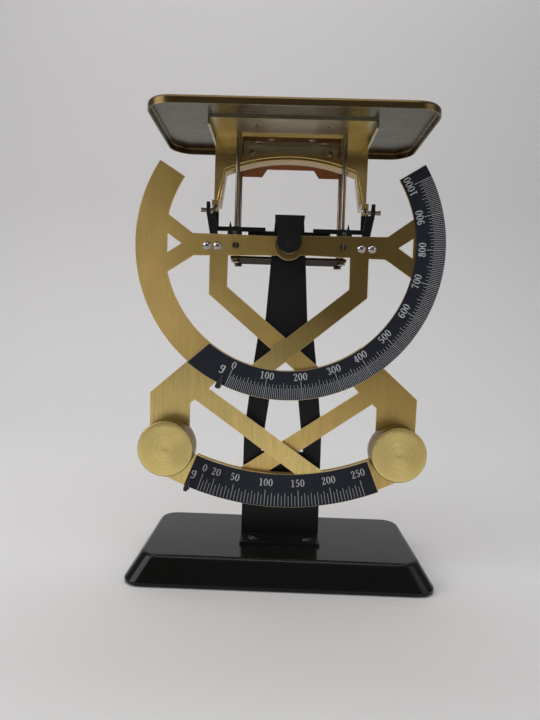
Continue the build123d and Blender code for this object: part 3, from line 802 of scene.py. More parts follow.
def wire(name: str, paths: list[list[Vector]], radius: float, sharp: float = 50.0) -> bpy.types.Object:
    """Round wires along open paths, joined in one mesh.

    Args:
        name: The object's name.
        paths: Points of each path in metres.
        radius: Radius of the wire in millimetres.
        sharp: Angle in degrees above which an edge stays sharp.

    Returns:
        The mesh object.
    """
    curve = bpy.data.curves.new(f"{name}_path", "CURVE")
    curve.dimensions = "3D"
    curve.bevel_depth = radius * MM
    curve.bevel_resolution = 2
    curve.use_fill_caps = True
    for path in paths:
        spline = curve.splines.new("POLY")
        spline.points.add(len(path) - 1)
        for point, spot in zip(spline.points, path):
            point.co = (*spot, 1.0)
    piece = baked_copy(new_object(f"{name}_path", curve), name)
    shade_by_angle(piece.data, sharp)
    return piece


def lathe(name: str, profile: list[Point], segments: int) -> bpy.types.Mesh:
    """Closed body turned round the Y axis.

    Args:
        name: The mesh's name.
        profile: Radius and y values in millimetres, from the front centre to the back centre.
        segments: Number of steps round the axis.

    Returns:
        The mesh, in metres, with its faces pointing out.
    """
    shape = bmesh.new()
    turns = [2 * math.pi * step / segments for step in range(segments)]
    rings = []
    for radius, depth in profile:
        if radius <= 0:
            rings.append([shape.verts.new((0.0, depth * MM, 0.0))])
            continue
        spots = [(radius * math.cos(turn), depth, radius * math.sin(turn)) for turn in turns]
        rings.append([shape.verts.new((x * MM, y * MM, z * MM)) for x, y, z in spots])
    for near, far in zip(rings, rings[1:]):
        for step in range(segments):
            after = (step + 1) % segments
            if len(near) == 1:
                shape.faces.new((near[0], far[after], far[step]))
            elif len(far) == 1:
                shape.faces.new((near[step], near[after], far[0]))
            else:
                shape.faces.new((near[step], near[after], far[after], far[step]))
    bmesh.ops.recalc_face_normals(shape, faces=shape.faces)
    return mesh_of(shape, name)


@dataclass(frozen=True)
class Dressing:
    """A node that keeps its shape but for rounded edges.

    Attributes:
        node: The node.
        finish: Its finish.
        rounding: Width of the rounding in millimetres.
    """

    node: str
    finish: Finish
    rounding: float


class Bench:
    """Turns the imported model's nodes into finished pieces."""

    merge_distance: float = 2e-6
    flat_angle: float = 0.4
    edge_angle: float = 32.0
    rounding_steps: int = 2
    face_weight: int = 100

    def __init__(self, frame: dict, palette: Palette) -> None:
        """Look up each node's body and slot.

        Args:
            frame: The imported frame, as loaded.
            palette: Where the materials come from.
        """
        self.nodes = frame["nodes"]
        self.palette = palette
        record = frame["record"]
        bodies = record["behaviour"]["bodies"]
        self.body_of = {node: body for body, members in bodies.items() for node in members}
        self.slot_of = {entry["node"]: entry["material_slot"] for entry in record["subparts"]}

    def keep(self, node: str, finish: Finish) -> None:
        """Keep a node as it is and give it a finish.

        Args:
            node: The node.
            finish: Its finish.
        """
        piece = self.nodes[node]
        material = self.palette.material(finish)
        if not piece.material_slots:
            piece.data.materials.append(material)
        for slot in piece.material_slots:
            slot.material = material
        LOG.info("kept %s in %s", node, finish.name)

    def soften(self, dressing: Dressing, quarter_about: Point | None = None) -> bpy.types.Object:
        """Replace a node by its own shape with rounded edges.

        Args:
            dressing: The node to stand for, with its finish and rounding.
            quarter_about: Axis, as x and height above the axle, that the shape is turned about by a
                quarter, where the piece is a screw.

        Returns:
            The new piece.
        """
        node = dressing.node
        mesh = self.nodes[node].data.copy()
        if quarter_about:
            pivot = Matrix.Translation(place(quarter_about[0], 0.0, quarter_about[1]))
            mesh.transform(pivot @ Matrix.Rotation(math.radians(90), 4, "Y") @ pivot.inverted())
        shape = bmesh.new()
        shape.from_mesh(mesh)
        bmesh.ops.remove_doubles(shape, verts=shape.verts, dist=self.merge_distance)
        flat = math.radians(self.flat_angle)
        bmesh.ops.dissolve_limit(shape, angle_limit=flat, verts=shape.verts, edges=shape.edges)
        shape.to_mesh(mesh)
        shape.free()
        mesh.materials.clear()
        piece = new_object(f"{node}_raw", mesh)
        bevel = piece.modifiers.new("rounding", "BEVEL")
        bevel.width = dressing.rounding * MM
        bevel.segments = self.rounding_steps
        bevel.limit_method = "ANGLE"
        bevel.angle_limit = math.radians(self.edge_angle)
        bevel.use_clamp_overlap = True
        mesh.shade_smooth()
        level = piece.modifiers.new("flat_faces", "WEIGHTED_NORMAL")
        level.mode = "FACE_AREA"
        level.weight = self.face_weight
        piece = baked_copy(piece, f"{node}_finished")
        return self.stand_for(node, piece, dressing.finish)

    def stand_for(self, node: str, piece: bpy.types.Object, finish: Finish) -> bpy.types.Object:
        """Let a made piece stand for a node, on its body."""
        return self.adopt(piece, self.body_of[node], finish, (node,))

    def adopt(
        self,
        piece: bpy.types.Object,
        body: str,
        finish: Finish,
        nodes: tuple[str, ...] = (),
    ) -> bpy.types.Object:
        """Give a made piece its material and body, and hide the nodes that it stands for.

        Args:
            piece: The finished object.
            body: The body that it rides on.
            finish: Its finish.
            nodes: The nodes that it stands for.

        Returns:
            The same piece.
        """
        piece.data.materials.clear()
        piece.data.materials.append(self.palette.material(finish))
        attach(piece, body)
        if nodes:
            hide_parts(*nodes)
        LOG.info("%s on %s: %d faces", piece.name, body, len(piece.data.polygons))
        return piece


class Repeater:
    """Geometry Nodes that repeat marks and rivets at points."""

    def __init__(self) -> None:
        """Build both trees."""
        self.marks = self._marks()
        self.heads = self._heads()

    def _marks(self) -> bpy.types.NodeTree:
        """One flat bar at each point, turned and stretched by the point's own values.

        Returns:
            The tree.
        """
        g = Group(
            "dial_marks",
            TreeKind.GEOMETRY,
            inputs=[
                ("Geometry", Socket.GEOMETRY, None),
                ("Thickness", Socket.FLOAT, 0.00006),
                ("Ink", Socket.MATERIAL, None),
            ],
            outputs=[("Geometry", Socket.GEOMETRY)],
        )
        turn, reach, breadth = (
            g.add("GeometryNodeInputNamedAttribute", {"Name": name}, data_type="FLOAT").outputs[0]
            for name in ("turn", "reach", "breadth")
        )
        size = g.add("ShaderNodeCombineXYZ", {0: 1.0, 1: g.take("Thickness"), 2: 1.0}).outputs[0]
        bar = g.add("GeometryNodeMeshCube", {"Size": size}).outputs[0]
        from_end = {"Geometry": bar, "Translation": (0.0, 0.0, 0.5)}
        angle = g.add("ShaderNodeCombineXYZ", {0: 0.0, 1: turn, 2: 0.0}).outputs[0]
        return self._repeat(g, "Ink", {
            "Instance": g.add("GeometryNodeTransform", from_end).outputs[0],
            "Rotation": g.add("FunctionNodeEulerToRotation", {0: angle}).outputs[0],
            "Scale": g.add("ShaderNodeCombineXYZ", {0: breadth, 1: 1.0, 2: reach}).outputs[0],
        })

    def _heads(self) -> bpy.types.NodeTree:
        """One turned head at each point.

        Returns:
            The tree.
        """
        g = Group(
            "rivet_row",
            TreeKind.GEOMETRY,
            inputs=[
                ("Geometry", Socket.GEOMETRY, None),
                ("Head", Socket.OBJECT, None),
                ("Tilt", Socket.FLOAT, 0.0),
                ("Metal", Socket.MATERIAL, None),
            ],
            outputs=[("Geometry", Socket.GEOMETRY)],
        )
        angle = g.add("ShaderNodeCombineXYZ", {0: g.take("Tilt"), 1: 0.0, 2: 0.0}).outputs[0]
        head = g.add("GeometryNodeObjectInfo", {"Object": g.take("Head")})
        return self._repeat(g, "Metal", {
            "Instance": head.outputs["Geometry"],
            "Rotation": g.add("FunctionNodeEulerToRotation", {0: angle}).outputs[0],
        })

    @staticmethod
    def _repeat(g: Group, coat: str, inputs: dict[str, Feed]) -> bpy.types.NodeTree:
        """Repeat a shape at the points, make the copies real and colour them.

        Args:
            g: The group to end.
            coat: Name of the group's material input.
            inputs: The shape, and how each copy is turned and stretched.

        Returns:
            The finished tree.
        """
        many = g.add("GeometryNodeInstanceOnPoints", {"Points": g.take("Geometry"), **inputs})
        real = g.add("GeometryNodeRealizeInstances", {"Geometry": many.outputs[0]})
        coated = {"Geometry": real.outputs[0], "Material": g.take(coat)}
        g.give(Geometry=g.add("GeometryNodeSetMaterial", coated).outputs[0])
        return g.tree

    def run(
        self,
        tree: bpy.types.NodeTree,
        name: str,
        points: list[Vector],
        values: dict[str, list[float]],
        settings: dict[str, object],
    ) -> bpy.types.Object:
        """Run a tree on a set of points.

        Args:
            tree: One of this object's trees.
            name: The name of the result.
            points: Where the copies stand, in metres.
            values: Named values of each point.
            settings: The tree's inputs by name.

        Returns:
            A plain mesh object.
        """
        mesh = bpy.data.meshes.new(f"{name}_points")
        mesh.from_pydata([tuple(point) for point in points], [], [])
        for label, numbers in values.items():
            attribute = mesh.attributes.new(label, "FLOAT", "POINT")
            attribute.data.foreach_set("value", numbers)
        piece = new_object(f"{name}_points", mesh)
        modifier = piece.modifiers.new("repeat", "NODES")
        modifier.node_group = tree
        for item in tree.interface.items_tree:
            if item.item_type == "SOCKET" and item.in_out == "INPUT" and item.name in settings:
                modifier[item.identifier] = settings[item.name]
        return baked_copy(piece, name)


@dataclass
class RivetRow:
    """A set of equal rivets that stands for one node.

    Attributes:
        node: The node.
        places: Where each head sits.
        finish: Their finish.
        radius: Radius of the domed head.
        height: Height of the head.
        grip: Thickness that the shank goes through.
        shank: Radius of the shank.
        upward: Whether the heads look down and the shanks go up, not back.
        tail: Thickness of the closed end, or 0 where there is none.
        tail_lip: How far the closed end stands out round the shank.
        dome_steps: Steps from the top of the head to its edge.
        segments: Steps round the rivet.
        sharp: Angle in degrees above which an edge stays sharp.
    """

    node: str
    places: tuple[Spot, ...]
    finish: Finish
    radius: float
    height: float
    grip: float
    shank: float
    upward: bool = False
    tail: float = 0.3
    tail_lip: float = 0.35
    dome_steps: int = 8
    segments: int = 28
    sharp: float = 40.0

    def profile(self) -> list[Point]:
        """Outline of the domed head, shank and tail, from front to back.

        Returns:
            Radius and depth of each point.
        """
        ball = (self.radius**2 + self.height**2) / (2 * self.height)
        points = []
        for step in range(self.dome_steps + 1):
            radius = self.radius * step / self.dome_steps
            lift = math.sqrt(max(ball**2 - radius**2, 0.0)) - (ball - self.height)
            points.append((radius, -lift))
        points += [(self.radius, 0.0), (self.shank, 0.0), (self.shank, self.grip)]
        if self.tail <= 0:
            return [*points, (0.0, self.grip)]
        lip, end = self.shank + self.tail_lip, self.grip + self.tail
        return [*points, (lip, self.grip), (lip, end), (0.0, end)]

    def build(self, bench: Bench, repeater: Repeater) -> None:
        """Make the row and hand it to the bench.

        Args:
            bench: Where finished pieces go.
            repeater: The trees that repeat heads.
        """
        head = new_object(f"{self.node}_head", lathe(f"{self.node}_head", self.profile(), self.segments))
        settings = {
            "Head": head,
            "Tilt": math.radians(90.0) if self.upward else 0.0,
            "Metal": bench.palette.material(self.finish),
        }
        points = [place(*spot) for spot in self.places]
        row = repeater.run(repeater.heads, f"{self.node}_row", points, {}, settings)
        bpy.data.objects.remove(head)
        shade_by_angle(row.data, self.sharp)
        bench.stand_for(self.node, row, self.finish)


def bar(x0: float, y0: float, x1: float, y1: float, width: float) -> Stroke:
    """Straight stroke of one width."""
    return [(x0, y0, width), (x1, y1, width)]


def oval(x: float, y: float, across: float, rise: float) -> Stroke:
    """Closed oval, thick at its sides and thin above and below.

    Args:
        x: Middle of the oval across.
        y: Middle of the oval in height.
        across: Half its width.
        rise: Half its height.

    Returns:
        The stroke, which ends where it starts.
    """
    steps, thin, swell, sharpness = 24, 0.055, 0.085, 1.6
    points = []
    for step in range(steps + 1):
        turn = 2 * math.pi * step / steps
        width = thin + swell * abs(math.cos(turn)) ** sharpness
        points.append((x + across * math.cos(turn), y + rise * math.sin(turn), width))
    return points


def figure_strokes() -> dict[str, list[Stroke]]:
    """Strokes of each figure, as x, y and width in parts of the figure's height.

    Returns:
        The strokes by figure.
    """
    six = [
        (0.42, 0.80, 0.12), (0.35, 0.93, 0.07), (0.22, 0.88, 0.08), (0.11, 0.62, 0.13),
        (0.10, 0.35, 0.15), (0.18, 0.09, 0.08), (0.29, 0.04, 0.05), (0.42, 0.14, 0.10),
        (0.46, 0.31, 0.14), (0.40, 0.50, 0.09), (0.28, 0.56, 0.05), (0.15, 0.46, 0.05),
    ]
    six_width = 0.56
    return {
        "0": [oval(0.29, 0.50, 0.20, 0.45)],
        "1": [
            bar(0.30, 0.04, 0.30, 0.95, 0.13),
            bar(0.13, 0.80, 0.29, 0.93, 0.07),
            bar(0.12, 0.04, 0.48, 0.04, 0.07),
        ],
        "2": [
            [(0.11, 0.74, 0.14), (0.17, 0.90, 0.07), (0.30, 0.95, 0.06), (0.43, 0.84, 0.11),
             (0.43, 0.68, 0.14), (0.33, 0.46, 0.10), (0.19, 0.25, 0.07), (0.10, 0.08, 0.05)],
            bar(0.09, 0.07, 0.47, 0.07, 0.12),
            bar(0.47, 0.05, 0.50, 0.24, 0.05),
        ],
        "3": [
            [(0.12, 0.78, 0.12), (0.20, 0.93, 0.06), (0.33, 0.93, 0.08), (0.41, 0.78, 0.14),
             (0.37, 0.60, 0.08), (0.24, 0.53, 0.05)],
            [(0.24, 0.53, 0.05), (0.40, 0.46, 0.09), (0.46, 0.28, 0.15), (0.39, 0.09, 0.09),
             (0.24, 0.04, 0.06), (0.11, 0.18, 0.13)],
        ],
        "4": [
            bar(0.38, 0.95, 0.06, 0.29, 0.06),
            bar(0.05, 0.28, 0.53, 0.28, 0.07),
            bar(0.38, 0.95, 0.38, 0.05, 0.13),
            bar(0.25, 0.04, 0.51, 0.04, 0.07),
        ],
        "5": [
            bar(0.15, 0.91, 0.45, 0.91, 0.12),
            bar(0.16, 0.92, 0.13, 0.52, 0.06),
            [(0.13, 0.52, 0.05), (0.24, 0.59, 0.06), (0.38, 0.54, 0.10), (0.46, 0.33, 0.15),
             (0.39, 0.10, 0.09), (0.24, 0.04, 0.06), (0.11, 0.17, 0.13)],
        ],
        "6": [six],
        "7": [
            bar(0.09, 0.90, 0.49, 0.90, 0.12),
            bar(0.10, 0.92, 0.09, 0.73, 0.05),
            [(0.48, 0.90, 0.05), (0.37, 0.66, 0.07), (0.28, 0.38, 0.11), (0.26, 0.05, 0.15)],
        ],
        "8": [oval(0.29, 0.73, 0.14, 0.21), oval(0.29, 0.27, 0.18, 0.23)],
        "9": [[(six_width - x, 1.0 - y, width) for x, y, width in six]],
        "g": [
            oval(0.27, 0.62, 0.18, 0.23),
            [(0.46, 0.88, 0.10), (0.47, 0.55, 0.13), (0.46, 0.22, 0.13), (0.37, 0.03, 0.11),
             (0.22, -0.02, 0.08), (0.09, 0.08, 0.11)],
        ],
    }


FIGURE_STROKES = figure_strokes()


@dataclass(frozen=True)
class Numerals:
    """Bookish figures with thick stems and thin joins, drawn as strokes.

    Attributes:
        height: Height of the figures in millimetres.
        advance: Width of a figure's place, in parts of the height.
        curve_steps: Steps between two points of a bent stroke.
        most_bends: Most points of a bent stroke; one with more is smooth as it stands.
        stroke_lift: How far each stroke stands in front of the one before, in millimetres.
    """

    height: float
    advance: float = 0.62
    curve_steps: int = 5
    most_bends: int = 20
    stroke_lift: float = 0.002

    def smoothed(self, stroke: Stroke) -> Stroke:
        """Add points so that a bent stroke runs in a smooth curve.

        Args:
            stroke: The stroke's own points.

        Returns:
            The same stroke with the points of a curve through them.
        """
        if not 3 <= len(stroke) <= self.most_bends:
            return stroke
        padded = [stroke[0], *stroke, stroke[-1]]
        result = []
        for before, start, end, after in zip(padded, padded[1:], padded[2:], padded[3:]):
            for step in range(self.curve_steps):
                t = step / self.curve_steps
                blend = []
                for a, b, c, d in zip(before, start, end, after):
                    bend = 2 * b + (c - a) * t + (2 * a - 5 * b + 4 * c - d) * t**2
                    blend.append(0.5 * (bend + (3 * b - a - 3 * c + d) * t**3))
                result.append(tuple(blend))
        return [*result, stroke[-1]]

    def write(
        self, shape: bmesh.types.BMesh, text: str, radius: float, angle: float, front: float, depth: float
    ) -> None:
        """Write figures across a radial line, with their tops towards the axle.

        Args:
            shape: The mesh to add to.
            text: The figures.
            radius: Distance from the axle to the middle of the figures in millimetres.
            angle: Angle of the line from straight down in degrees.
            front: The y value of the figures' face in millimetres.
            depth: Depth of the print in millimetres.
        """
        x, z = polar(radius, angle)
        turn = math.radians(angle)
        right = (math.cos(turn), math.sin(turn))
        up = (-math.sin(turn), math.cos(turn))
        start = -self.advance * len(text) / 2
        lift = 0.0
        for index, figure in enumerate(text):
            for stroke in FIGURE_STROKES[figure]:
                flat = []
                for u, v, width in self.smoothed(stroke):
                    across = (start + index * self.advance + u) * self.height
                    rise = (v - 0.5) * self.height
                    spot = (x + right[0] * across + up[0] * rise, z + right[1] * across + up[1] * rise)
                    flat.append((*spot, width * self.height / 2))
                lift += self.stroke_lift
                self._ribbon(shape, flat, front - lift, depth + lift)

    @staticmethod
    def _ribbon(shape: bmesh.types.BMesh, line: Stroke, front: float, depth: float) -> None:
        """Add a closed strip along a line.

        Args:
            shape: The mesh to add to.
            line: The x value, the height above the axle and half the width at each point.
            front: The y value of the strip's face.
            depth: Depth of the strip.
        """
        last, touching = len(line) - 1, 1e-6
        closed = math.dist(line[0][:2], line[last][:2]) < touching
        rows = []
        for index, (x, z, half) in enumerate(line):
            ahead = line[min(index + 1, last)]
            behind = line[max(index - 1, 0)]
            if closed and index in (0, last):
                ahead, behind = line[1], line[last - 1]
            run = Vector((ahead[0] - behind[0], ahead[1] - behind[1])).normalized()
            side = Vector((-run.y, run.x)) * half
            corners = []
            for sign, y in ((1, front), (-1, front), (-1, front + depth), (1, front + depth)):
                corners.append(shape.verts.new(place(x + side.x * sign, y, z + side.y * sign)))
            rows.append(corners)
        for near, far in zip(rows, rows[1:]):
            for a in range(4):
                b = (a + 1) % 4
                shape.faces.new((near[a], near[b], far[b], far[a]))
        shape.faces.new(rows[0])
        shape.faces.new(list(reversed(rows[-1])))


@dataclass
class DialScale:
    """A curved printed scale on one plate of the right sector.

    Attributes:
        name: Start of its pieces' names.
        zero: Angle of the zero mark from straight down in degrees.
        marks: Known weights in grams, and their angles from the zero mark.
        figures: Weights that carry a figure.
        figure_radius: Distance from the axle to the middle of the figures.
        outer: Distance from the axle to the outer ends of the marks.
        tiers: For each length of mark, the weights it falls on and its inner end, longest first.
        zero_reach: Length of the zero mark.
        unit_angle: Angle of the unit from straight down.
        unit_drop: How far the unit sits below the figures.
        unit_size: Size of the unit against the figures.
        figure_height: Height of the figures.
        step: Grams between two marks.
        wide_mark: Width of the marks with a figure.
        narrow_mark: Width of the others.
        front: The y value of the plate's face.
        depth: How far the print stands out of it.
    """

    name: str
    zero: float
    marks: tuple[Point, ...]
    figures: tuple[int, ...]
    figure_radius: float
    outer: float
    tiers: tuple[Point, ...]
    zero_reach: float
    unit_angle: float
    unit_drop: float = 4.4
    unit_size: float = 1.2
    figure_height: float = 4.3
    step: float = 5.0
    wide_mark: float = 0.26
    narrow_mark: float = 0.18
    front: float = -19.2
    depth: float = 0.05

    def angle_of(self, grams: float) -> float:
        """Angle of a weight, smooth through the known marks.

        Args:
            grams: The weight.

        Returns:
            The angle from straight down in degrees.
        """
        xs = [weight for weight, _ in self.marks]
        ys = [angle for _, angle in self.marks]
        slopes = [(ys[i + 1] - ys[i]) / (xs[i + 1] - xs[i]) for i in range(len(xs) - 1)]
        ends = [slopes[0], *[(a + b) / 2 for a, b in zip(slopes, slopes[1:])], slopes[-1]]
        at = max(i for i in range(len(xs) - 1) if xs[i] <= grams or i == 0)
        width = xs[at + 1] - xs[at]
        t = (grams - xs[at]) / width
        value = (2 * t**3 - 3 * t**2 + 1) * ys[at] + (t**3 - 2 * t**2 + t) * width * ends[at]
        value += (3 * t**2 - 2 * t**3) * ys[at + 1] + (t**3 - t**2) * width * ends[at + 1]
        return self.zero + value

    def reach_of(self, grams: float) -> float:
        """Length of a weight's mark.

        Args:
            grams: The weight.

        Returns:
            The length in millimetres.
        """
        if grams == 0:
            return self.zero_reach
        if grams in self.figures:
            return self.outer - self.tiers[0][1]
        for every, start in self.tiers:
            if grams % every == 0:
                return self.outer - start
        return self.outer - self.tiers[-1][1]

    def build(self, bench: Bench, repeater: Repeater) -> None:
        """Print the marks and the figures on the plate.

        Args:
            bench: Where finished pieces go.
            repeater: The trees that repeat marks.
        """
        for piece in (self._mark_row(bench, repeater), self._figure_set()):
            bench.adopt(piece, Side.RIGHT.body, SCALE_PRINT)

    def _mark_row(self, bench: Bench, repeater: Repeater) -> bpy.types.Object:
        """Every mark of the scale.

        Args:
            bench: Where the ink's material comes from.
            repeater: The trees that repeat marks.

        Returns:
            The marks in one object.
        """
        count = round(self.marks[-1][0] / self.step)
        weights = [index * self.step for index in range(count + 1)]
        angles = [self.angle_of(grams) for grams in weights]
        ends = [polar(self.outer, angle) for angle in angles]
        widths = [self.wide_mark if grams in self.figures else self.narrow_mark for grams in weights]
        values = {
            "turn": [-math.radians(angle) for angle in angles],
            "reach": [self.reach_of(grams) * MM for grams in weights],
            "breadth": [width * MM for width in widths],
        }
        settings = {"Thickness": 2 * self.depth * MM, "Ink": bench.palette.material(SCALE_PRINT)}
        points = [place(x, self.front, z) for x, z in ends]
        return repeater.run(repeater.marks, f"{self.name}_marks", points, values, settings)

    def _figure_set(self) -> bpy.types.Object:
        """The figures and the unit.

        Returns:
            The figures in one object.
        """
        shape = bmesh.new()
        front, depth = self.front - self.depth, 2 * self.depth
        numerals = Numerals(self.figure_height)
        for grams in self.figures:
            numerals.write(shape, str(grams), self.figure_radius, self.angle_of(grams), front, depth)
        unit = Numerals(self.figure_height * self.unit_size)
        unit.write(shape, "g", self.figure_radius + self.unit_drop, self.unit_angle, front, depth)
        bmesh.ops.recalc_face_normals(shape, faces=shape.faces)
        name = f"{self.name}_figures"
        return new_object(name, mesh_of(shape, name))


UPPER_SCALE = DialScale(
    name="upper_scale",
    zero=-22.8,
    marks=((0, 0), (100, 15.1), (200, 29.7), (300, 44.6), (400, 57.4), (500, 71.1), (600, 84.9),
           (700, 98.7), (800, 112.4), (900, 126.2), (1000, 140.0)),
    figures=tuple(range(0, 1001, 100)),
    figure_radius=72.9,
    outer=85.5,
    tiers=((100, 75.5), (50, 76.2), (10, 77.4), (5, 79.2)),
    zero_reach=10.5,
    unit_angle=-26.6,
)
LOWER_SCALE = DialScale(
    name="lower_scale",
    zero=-18.9,
    marks=((0, 0), (20, 2.9), (50, 7.6), (100, 15.2), (150, 22.9), (200, 30.4), (250, 37.7)),
    figures=(0, 20, 50, 100, 150, 200, 250),
    figure_radius=132.6,
    outer=145.7,
    tiers=((50, 136.8), (10, 138.4), (5, 139.9)),
    zero_reach=9.6,
    unit_angle=-20.9,
    unit_drop=5.4,
    narrow_mark=0.22,
)


@dataclass
class Readout:
    """Both printed scales, and the pointers that the left sector holds in front of them."""

    scales: tuple[DialScale, ...] = (UPPER_SCALE, LOWER_SCALE)
    pointers: tuple[Dressing, ...] = (
        Dressing("upper_index", POINTER_BLACK, 0.1),
        Dressing("lower_index", POINTER_BLACK, 0.1),
    )

    def build(self, bench: Bench, repeater: Repeater) -> None:
        """Dress the plates, print the scales and finish the pointers.

        Args:
            bench: Where finished pieces go.
            repeater: The trees that repeat marks.
        """
        for scale in self.scales:
            bench.keep(f"{scale.name}_plate", SCALE_GROUND)
        for scale in self.scales:
            scale.build(bench, repeater)
        for pointer in self.pointers:
            bench.soften(pointer)


@dataclass
class WeightDisc:
    """Turned brass weight of one sector.

    Attributes:
        side: The sector.
        front: The y value of its face.
        reach: Distance of its centre from the axle.
        angle: Angle of its centre from straight down, on the right sector.
        radius: Its radius.
        length: Its length along y.
        segments: Steps round it.
        sharp: Angle in degrees above which an edge stays sharp.
    """

    side: Side
    front: float
    reach: float = 129.2
    angle: float = -29.3
    radius: float = 15.1
    length: float = 14.0
    segments: int = 160
    sharp: float = 28.0

    def centre(self) -> Point:
        """Centre of the disc as x and height above the axle."""
        x, z = polar(self.reach, self.angle)
        return x * self.side.mirror, z

    def profile(self) -> list[Point]:
        """Outline from the centre of the face round the rim to the back.

        Returns:
            Radius and depth of each point.
        """
        rim, end = self.radius, self.length
        line_floor = rim - 0.10
        dimple = [(0.0, 0.16), (0.35, 0.10), (0.8, 0.02), (1.2, 0.0)]
        face = [(4.5, 0.0), (8.0, 0.0), (11.5, 0.0), (rim - 0.9, 0.0)]
        rounding = [(rim - 0.55, 0.06), (rim - 0.24, 0.24), (rim - 0.06, 0.55), (rim, 0.9)]
        turned_line = [(rim, 3.0), (line_floor, 3.2), (line_floor, 3.6), (rim, 3.8)]
        back = [(rim, end - 0.4), (rim - 0.3, end), (0.0, end)]
        return dimple + face + rounding + turned_line + back

    def finish(self) -> Finish:
        """Turned finish centred on this disc.

        Returns:
            The finish.
        """
        x, z = self.centre()
        shift = (-x * MM, 0.0, -(z + AXLE_HEIGHT) * MM)
        return replace(TURNED_BRASS, name=f"turned_brass_{self.side.value}", centre=shift)

    def build(self, bench: Bench) -> None:
        """Turn the disc and put it on its sector.

        Args:
            bench: Where finished pieces go.
        """
        node = f"weight_disc_{self.side.value}"
        mesh = lathe(f"{node}_turned", self.profile(), self.segments)
        x, z = self.centre()
        mesh.transform(Matrix.Translation(place(x, self.front, z)))
        shade_by_angle(mesh, self.sharp)
        bench.stand_for(node, new_object(f"{node}_turned", mesh), self.finish())


@dataclass
class Sector:
    """One pierced sheet with what is fixed to it.

    Attributes:
        side: Which sector it is.
        brass: Finish of its sheet.
        sheet_front: The y value of the sheet's face.
        weight_front: The y value of the weight's face.
        rounding: Rounding of the sheet's edges.
        fittings: What is fixed to the sheet, without the side in its name.
        screw: The load lug's screw.
        screw_axis: Its axis on the right sector, as x and height above the axle.
        rivets: Places of the ear's rivets on the right sector.
    """

    side: Side
    brass: Finish
    sheet_front: float
    weight_front: float
    rounding: float = 0.32
    fittings: tuple[Dressing, ...] = (
        Dressing("hub_bush", SMALL_BRASS, 0.15),
        Dressing("weight_screw", DARK_STEEL, 0.12),
        Dressing("trim_bracket", BLACK_PAINT, 0.15),
        Dressing("trim_screw", ROD_STEEL, 0.08),
        Dressing("load_lug", BLACK_PAINT, 0.15),
        Dressing("load_stud", ROD_STEEL, 0.2),
    )
    screw: Dressing = Dressing("load_lug_screw", LUG_STEEL, 0.1)
    screw_axis: Point = (29.7, -0.3)
    rivets: tuple[Point, ...] = ((40.0, -0.9), (45.8, -0.9))

    def sided(self, dressing: Dressing) -> Dressing:
        """Add this side to a node's name."""
        return replace(dressing, node=f"{dressing.node}_{self.side.value}")

    def build(self, bench: Bench, repeater: Repeater) -> None:
        """Dress the sheet, its bush, weight, ear, lug and rivets.

        Args:
            bench: Where finished pieces go.
            repeater: The trees that repeat rivets.
        """
        bench.soften(self.sided(Dressing("sector_plate", self.brass, self.rounding)))
        WeightDisc(self.side, self.weight_front).build(bench)
        for fitting in self.fittings:
            bench.soften(self.sided(fitting))
        x, z = self.screw_axis
        bench.soften(self.sided(self.screw), quarter_about=(x * self.side.mirror, z))
        RivetRow(
            f"trim_rivets_{self.side.value}",
            tuple((x * self.side.mirror, self.sheet_front, z) for x, z in self.rivets),
            RIVET_CHROME, radius=2.4, height=1.1, grip=2.4, shank=1.2,
        ).build(bench, repeater)


@dataclass
class Stand:
    """Base, column and guide."""

    parts: tuple[Dressing, ...] = (
        Dressing("base_plate", BLACK_PAINT, 0.2),
        Dressing("base_plate_screws", DARK_STEEL, 0.15),
        Dressing("rubber_feet", FOOT_RUBBER, 0.3),
        Dressing("column", BLACK_PAINT, 0.25),
        Dressing("column_screws", DARK_STEEL, 0.12),
        Dressing("column_nuts", DARK_STEEL, 0.12),
        Dressing("guide_plate", BLACK_PAINT, 0.15),
        Dressing("main_axle", DARK_STEEL, 0.2),
        Dressing("axle_nut", ROD_STEEL, 0.15),
    )
    guide_rivets: tuple[Spot, ...] = ((-4.4, -10.6, 10.4), (4.4, -10.6, 10.4))

    def build(self, bench: Bench, repeater: Repeater) -> None:
        """Dress every fixed piece.

        Args:
            bench: Where finished pieces go.
            repeater: The trees that repeat rivets.
        """
        bench.keep("base_cover", BASE_ENAMEL)
        for part in self.parts:
            bench.soften(part)
        RivetRow(
            "guide_plate_rivets", self.guide_rivets, DARK_STEEL,
            radius=1.7, height=0.6, grip=2.7, shank=1.0,
        ).build(bench, repeater)


